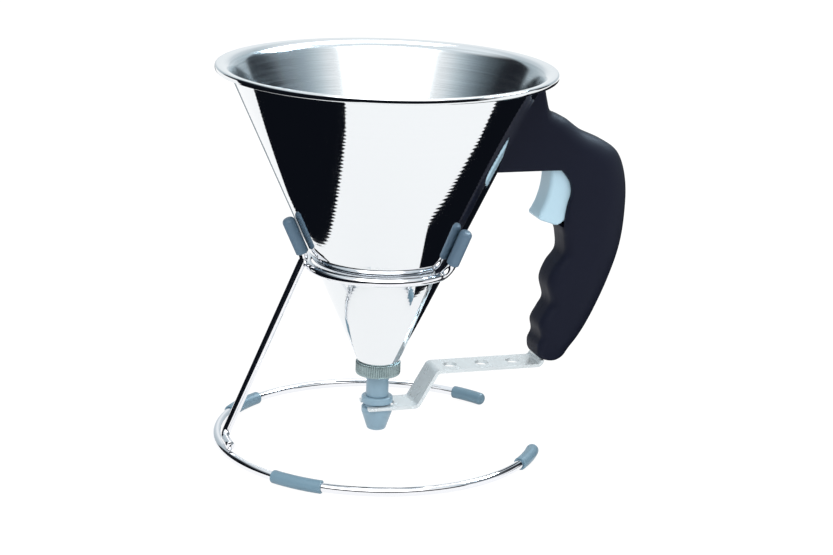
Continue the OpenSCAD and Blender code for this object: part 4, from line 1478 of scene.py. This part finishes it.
# Cards that only mirrors see: their colour and their corners in the camera's plan, in metres. The standing
# one gives each corner a height of its own.
CARDS = {
    "left": (BLACK, (
        (-0.090, -0.60), (-0.0898, -0.1452), (-0.0876, -0.1309), (-0.0925, -0.1075), (-0.1004, -0.078),
        (-0.1104, -0.0382), (-0.1184, -0.0033), (-0.1244, 0.0235), (-0.1315, 0.0633), (-0.1375, 0.0942),
        (-0.1435, 0.1202), (-0.1513, 0.1688), (-0.1636, 0.1891), (-0.1975, 0.1799), (-0.2291, 0.1681),
        (-0.267, 0.1458), (-0.62, 0.16), (-3.0, 0.50), (-3.0, -0.60))),
    "right": (BLACK, (
        (0.0541, 0.0619), (0.0598, 0.0412), (0.0684, 0.0393), (0.0862, 0.0384), (0.0953, 0.0386),
        (0.0969, 0.0244), (0.0884, 0.0051), (0.0759, -0.0143), (0.0789, -0.0241), (0.0899, -0.0401),
        (0.0960, -0.0501), (0.1010, -0.0547), (0.1082, -0.0533), (0.1173, -0.0494), (0.1296, -0.0416),
        (0.1480, -0.0318), (0.1655, -0.023), (0.1830, -0.0132), (0.2006, -0.0023), (0.2295, 0.0055),
        (0.70, 0.15), (0.80, 0.90), (0.06, 0.90))),
    "standing": (BLACK, ((-0.36, -0.42, 0.0), (-0.36, 0.10, 0.0), (-0.36, 0.10, 0.18), (-0.36, -0.42, 0.18))),
    "front": (BLACK, ((-4.0, -4.0), (4.0, -4.0), (4.0, -0.30), (0.3, -0.36), (-0.087, -0.36), (-4.0, -0.30))),
    "back": (GREY, (
        (-0.224, 0.505), (-0.211, 0.483), (-0.199, 0.462), (-0.192, 0.422), (-0.180, 0.403), (-0.174, 0.367),
        (-0.163, 0.349), (-0.153, 0.331), (-0.147, 0.300), (-0.137, 0.283), (-0.131, 0.255), (-0.122, 0.239),
        (-0.113, 0.223), (-0.108, 0.198), (-0.02, 0.60), (-0.1, 2.5), (-0.9, 2.5), (-0.30, 0.62))),
}


@dataclass(frozen=True)
class Lamp:
    """A soft box: an area lamp of an even brightness.

    Attributes:
        name: Name of the lamp.
        at: Its middle, in the camera's plan.
        target: Point that it faces.
        size: Width and height in metres.
        radiance: Brightness of its face, where 1 is white.
        colour: Its colour.
        shine_only: Whether it only shows as a highlight and lights nothing else.
    """

    name: str
    at: tuple
    target: tuple
    size: tuple
    radiance: float
    colour: tuple = WHITE
    shine_only: bool = False


LAMPS = (
    Lamp("crest_box", (0.60, 0.29, 0.84), (0.1, 0.0, 0.15), (0.45, 0.3), 36.0, CREST_LIGHT, True),
    Lamp("key_box", (0.0, -0.72, 0.86), (0.0, 0.0, 0.1), (1.25, 0.75), 2.0),
    Lamp("top_box", (0.12, 0.32, 1.1), (0.05, 0.0, 0.1), (0.7, 0.5), 2.6),
)


@dataclass
class Studio:
    """Camera, lamps, floor and the cards that the polished steel mirrors.

    Attributes:
        turn: Angle between the camera's own plan and the handle's plane, in degrees.
        distance: Level distance of the camera from the axis, in metres.
        height: Height of the camera.
        aim: Yaw, pitch and roll of the camera, in degrees.
        lens: Focal length in millimetres.
        sensor: Width of the sensor in millimetres.
    """

    turn: float = 17.11
    distance: float = 0.915
    height: float = 0.3364
    aim: tuple = (1.0, 15.796, 2.094)
    lens: float = 91.77
    sensor: float = 36.0

    def to_row(self, points: Sequence) -> np.ndarray:
        """Turns points or directions from the camera's plan to the object's frame."""
        c, s = math.cos(math.radians(self.turn)), math.sin(math.radians(self.turn))
        return np.asarray(points, float) @ np.array([[c, s, 0], [-s, c, 0], [0, 0, 1]]).T

    def camera(self) -> None:
        """Sets the camera up from its place and aim."""
        yaw, pitch, roll = (math.radians(a) for a in self.aim)
        ahead = np.array([math.sin(yaw) * math.cos(pitch), math.cos(yaw) * math.cos(pitch), -math.sin(pitch)])
        right = np.array([math.cos(yaw), -math.sin(yaw), 0.0])
        up = np.cross(right, ahead)
        cos, sin = math.cos(roll), math.sin(roll)
        right, up = cos * right + sin * up, cos * up - sin * right
        axes = self.to_row([right, up, -ahead])
        pose = np.eye(4)
        pose[:3, :3] = axes.T
        pose[:3, 3] = self.to_row([0.0, -self.distance, self.height])
        data = bpy.data.cameras.new("camera")
        data.lens, data.sensor_width, data.clip_start, data.clip_end = self.lens, self.sensor, 0.05, 50.0
        camera = bpy.data.objects.new("camera", data)
        camera.matrix_world = Matrix(pose.tolist())
        bpy.context.scene.collection.objects.link(camera)
        bpy.context.scene.camera = camera

    def lamp(self, box: Lamp) -> None:
        """Hangs up a soft box.

        Args:
            box: The lamp, whose power is its radiance times pi times its area.
        """
        data = bpy.data.lights.new(box.name, "AREA")
        data.shape, data.size, data.size_y = "RECTANGLE", *box.size
        data.energy = box.radiance * math.pi * box.size[0] * box.size[1]
        data.color = box.colour
        lamp = bpy.data.objects.new(box.name, data)
        lamp.visible_diffuse = not box.shine_only
        back = unit(np.array(box.at, float) - np.array(box.target, float))
        right = unit(np.cross([0.0, 0.0, 1.0], back))
        pose = np.eye(4)
        pose[:3, :3] = self.to_row([right, np.cross(back, right), back]).T
        pose[:3, 3] = self.to_row(box.at)
        lamp.matrix_world = Matrix(pose.tolist())
        bpy.context.scene.collection.objects.link(lamp)

    def flat_piece(self, name: str, corners: Sequence, height: float,
                   material: bpy.types.Material) -> bpy.types.Object:
        """Flat sheet of the stage.

        Args:
            name: Name of the piece.
            corners: Its corners in the camera's plan, each with a height of its own or none.
            height: Height of the corners that have none.
            material: Its material.

        Returns:
            The sheet.
        """
        points = self.to_row([(*corner, height)[:3] for corner in corners])
        mesh = bpy.data.meshes.new(name)
        mesh.from_pydata(points.tolist(), [], [list(range(len(corners)))])
        mesh.materials.append(material)
        sheet = bpy.data.objects.new(name, mesh)
        bpy.context.scene.collection.objects.link(sheet)
        return sheet

    @staticmethod
    def floor_material() -> bpy.types.Material:
        """Pale floor: mostly plain white to the eye and to mirrors, with a share that takes the shadow.

        Returns:
            The new material.
        """
        material = bpy.data.materials.new("floor")
        material.use_nodes = True
        tree = material.node_tree
        tree.nodes.clear()
        out = tree.nodes.new("ShaderNodeOutputMaterial")
        mix = tree.nodes.new("ShaderNodeMixShader")
        diffuse = tree.nodes.new("ShaderNodeBsdfDiffuse")
        glow = tree.nodes.new("ShaderNodeEmission")
        rays = tree.nodes.new("ShaderNodeLightPath")
        diffuse.inputs["Color"].default_value = (*FLOOR_COLOUR, 1)
        glow.inputs["Strength"].default_value = FLOOR_GLOW
        seen = math_node(tree, "MAXIMUM", rays.outputs["Is Camera Ray"], rays.outputs["Is Glossy Ray"])
        seen = math_node(tree, "MAXIMUM", seen, rays.outputs["Is Transmission Ray"])
        tree.links.new(math_node(tree, "MULTIPLY", seen, FLOOR_PLAIN), mix.inputs["Fac"])
        tree.links.new(diffuse.outputs[0], mix.inputs[1])
        tree.links.new(glow.outputs[0], mix.inputs[2])
        tree.links.new(mix.outputs[0], out.inputs["Surface"])
        return material

    @staticmethod
    def card_material(name: str, colour: tuple) -> bpy.types.Material:
        """Plain card of an even colour.

        Args:
            name: Name of the material.
            colour: Its linear red, green and blue.

        Returns:
            The new material.
        """
        material = bpy.data.materials.new(name)
        material.use_nodes = True
        tree = material.node_tree
        tree.nodes.clear()
        out = tree.nodes.new("ShaderNodeOutputMaterial")
        glow = tree.nodes.new("ShaderNodeEmission")
        glow.inputs["Color"].default_value = (*colour, 1)
        tree.links.new(glow.outputs[0], out.inputs["Surface"])
        return material

    def world(self) -> None:
        """White to the eye, an even pale light on the object, and a dim room with white walls to mirrors.

        The walls' colour goes by backward = 0.5 + 0.5 y / sqrt(x^2 + y^2) of the direction in the camera's
        plan. Four layers lie over it: a faint light on the right, a dark one low down everywhere but on the
        far side, a window low on the right, and the roof.
        """
        world = bpy.data.worlds.new("studio")
        bpy.context.scene.world = world
        world.use_nodes = True
        tree = world.node_tree
        tree.nodes.clear()
        out = tree.nodes.new("ShaderNodeOutputWorld")
        background = tree.nodes.new("ShaderNodeBackground")
        rays = tree.nodes.new("ShaderNodeLightPath")
        coordinates = tree.nodes.new("ShaderNodeTexCoord")
        turned = tree.nodes.new("ShaderNodeVectorRotate")
        turned.rotation_type = "Z_AXIS"
        turned.inputs["Angle"].default_value = math.radians(self.turn)
        tree.links.new(coordinates.outputs["Generated"], turned.inputs["Vector"])
        parts = tree.nodes.new("ShaderNodeSeparateXYZ")
        tree.links.new(turned.outputs[0], parts.inputs[0])
        x, y, z = parts.outputs
        level_run = math_node(tree, "SQRT", math_node(tree, "ADD", math_node(tree, "MULTIPLY", x, x),
                                                      math_node(tree, "MULTIPLY_ADD", y, y, 1e-6)))
        walls = tree.nodes.new("ShaderNodeValToRGB")
        backward = math_node(tree, "MULTIPLY_ADD", math_node(tree, "DIVIDE", y, level_run), 0.5, 0.5)
        tree.links.new(backward, walls.inputs["Fac"])
        ramp = walls.color_ramp
        while len(ramp.elements) < len(WALLS):
            ramp.elements.new(0.5)
        for element, (at, colour) in zip(ramp.elements, WALLS):
            element.position, element.color = at, (*colour, 1)
        dark = math_node(tree, "MULTIPLY", self.step_node(tree, backward, 0.87, 0.84),
                         self.step_node(tree, z, 0.40, 0.34))
        window = math_node(tree, "MULTIPLY", self.step_node(tree, x, 0.87, 0.92),
                           self.step_node(tree, z, 0.24, 0.17))
        layers = (
            (math_node(tree, "MULTIPLY", self.step_node(tree, x, 0.68, 0.92), SIDE_SHARE), SIDE_LIGHT),
            (dark, DARK),
            (window, WINDOW),
            (self.step_node(tree, z, 0.56, 0.80), ROOF))
        colour = walls.outputs["Color"]
        for factor, layer in layers:
            colour = self.mix_node(tree, factor, colour, layer)
        glossy, passing = rays.outputs["Is Glossy Ray"], rays.outputs["Is Transmission Ray"]
        mirrored = math_node(tree, "MAXIMUM", glossy, passing)
        colour = self.mix_node(tree, mirrored, EVEN_LIGHT, colour)
        colour = self.mix_node(tree, rays.outputs["Is Camera Ray"], colour, WHITE)
        tree.links.new(colour, background.inputs["Color"])
        tree.links.new(background.outputs[0], out.inputs["Surface"])

    @staticmethod
    def step_node(tree: Tree, value: Socket, start: float, end: float) -> Socket:
        """Smooth step from 0 at start to 1 at end.

        Args:
            tree: Node tree that it goes into.
            value: Socket of the number.
            start: Where it leaves 0.
            end: Where it reaches 1.

        Returns:
            The output socket.
        """
        node = tree.nodes.new("ShaderNodeMapRange")
        node.interpolation_type = "SMOOTHSTEP"
        tree.links.new(value, node.inputs["Value"])
        low, high, at_low, at_high = (start, end, 0, 1) if start < end else (end, start, 1, 0)
        node.inputs["From Min"].default_value, node.inputs["From Max"].default_value = low, high
        node.inputs["To Min"].default_value, node.inputs["To Max"].default_value = at_low, at_high
        return node.outputs[0]

    @staticmethod
    def mix_node(tree: Tree, factor: Socket, first: tuple | Socket, second: tuple | Socket) -> Socket:
        """Mix of two colours, each a socket or a plain colour.

        Args:
            tree: Node tree that it goes into.
            factor: Socket of the second one's share.
            first: Colour at 0.
            second: Colour at 1.

        Returns:
            The output socket.
        """
        node = tree.nodes.new("ShaderNodeMix")
        node.data_type = "RGBA"
        tree.links.new(factor, node.inputs["Factor"])
        for label, colour in (("A", first), ("B", second)):
            if isinstance(colour, tuple):
                node.inputs[label].default_value = (*colour, 1)
            else:
                tree.links.new(colour, node.inputs[label])
        return node.outputs["Result"]

    def build(self) -> None:
        """Builds the whole studio."""
        self.camera()
        self.world()
        self.flat_piece("floor", FLOOR, 0.0, self.floor_material())
        for name, (colour, corners) in CARDS.items():
            material = self.card_material(f"{name}_card", colour)
            card = self.flat_piece(f"card_{name}", corners, CARD_Z, material)
            card.visible_camera = card.visible_diffuse = card.visible_shadow = False
            card.visible_transmission = False
        for box in LAMPS:
            self.lamp(box)
        bpy.context.scene.view_settings.view_transform = "Standard"


def main() -> None:
    """Builds the studio and each sub-assembly in turn."""
    logging.basicConfig(level=logging.INFO, format="%(name)s: %(message)s")
    Studio().build()
    palette = Palette()
    cone = Cone()
    for assembly in (Funnel(cone), Valve(), Handle(cone), Trigger(), Stand(cone)):
        assembly.build(palette)


if __name__ == "__main__":
    main()
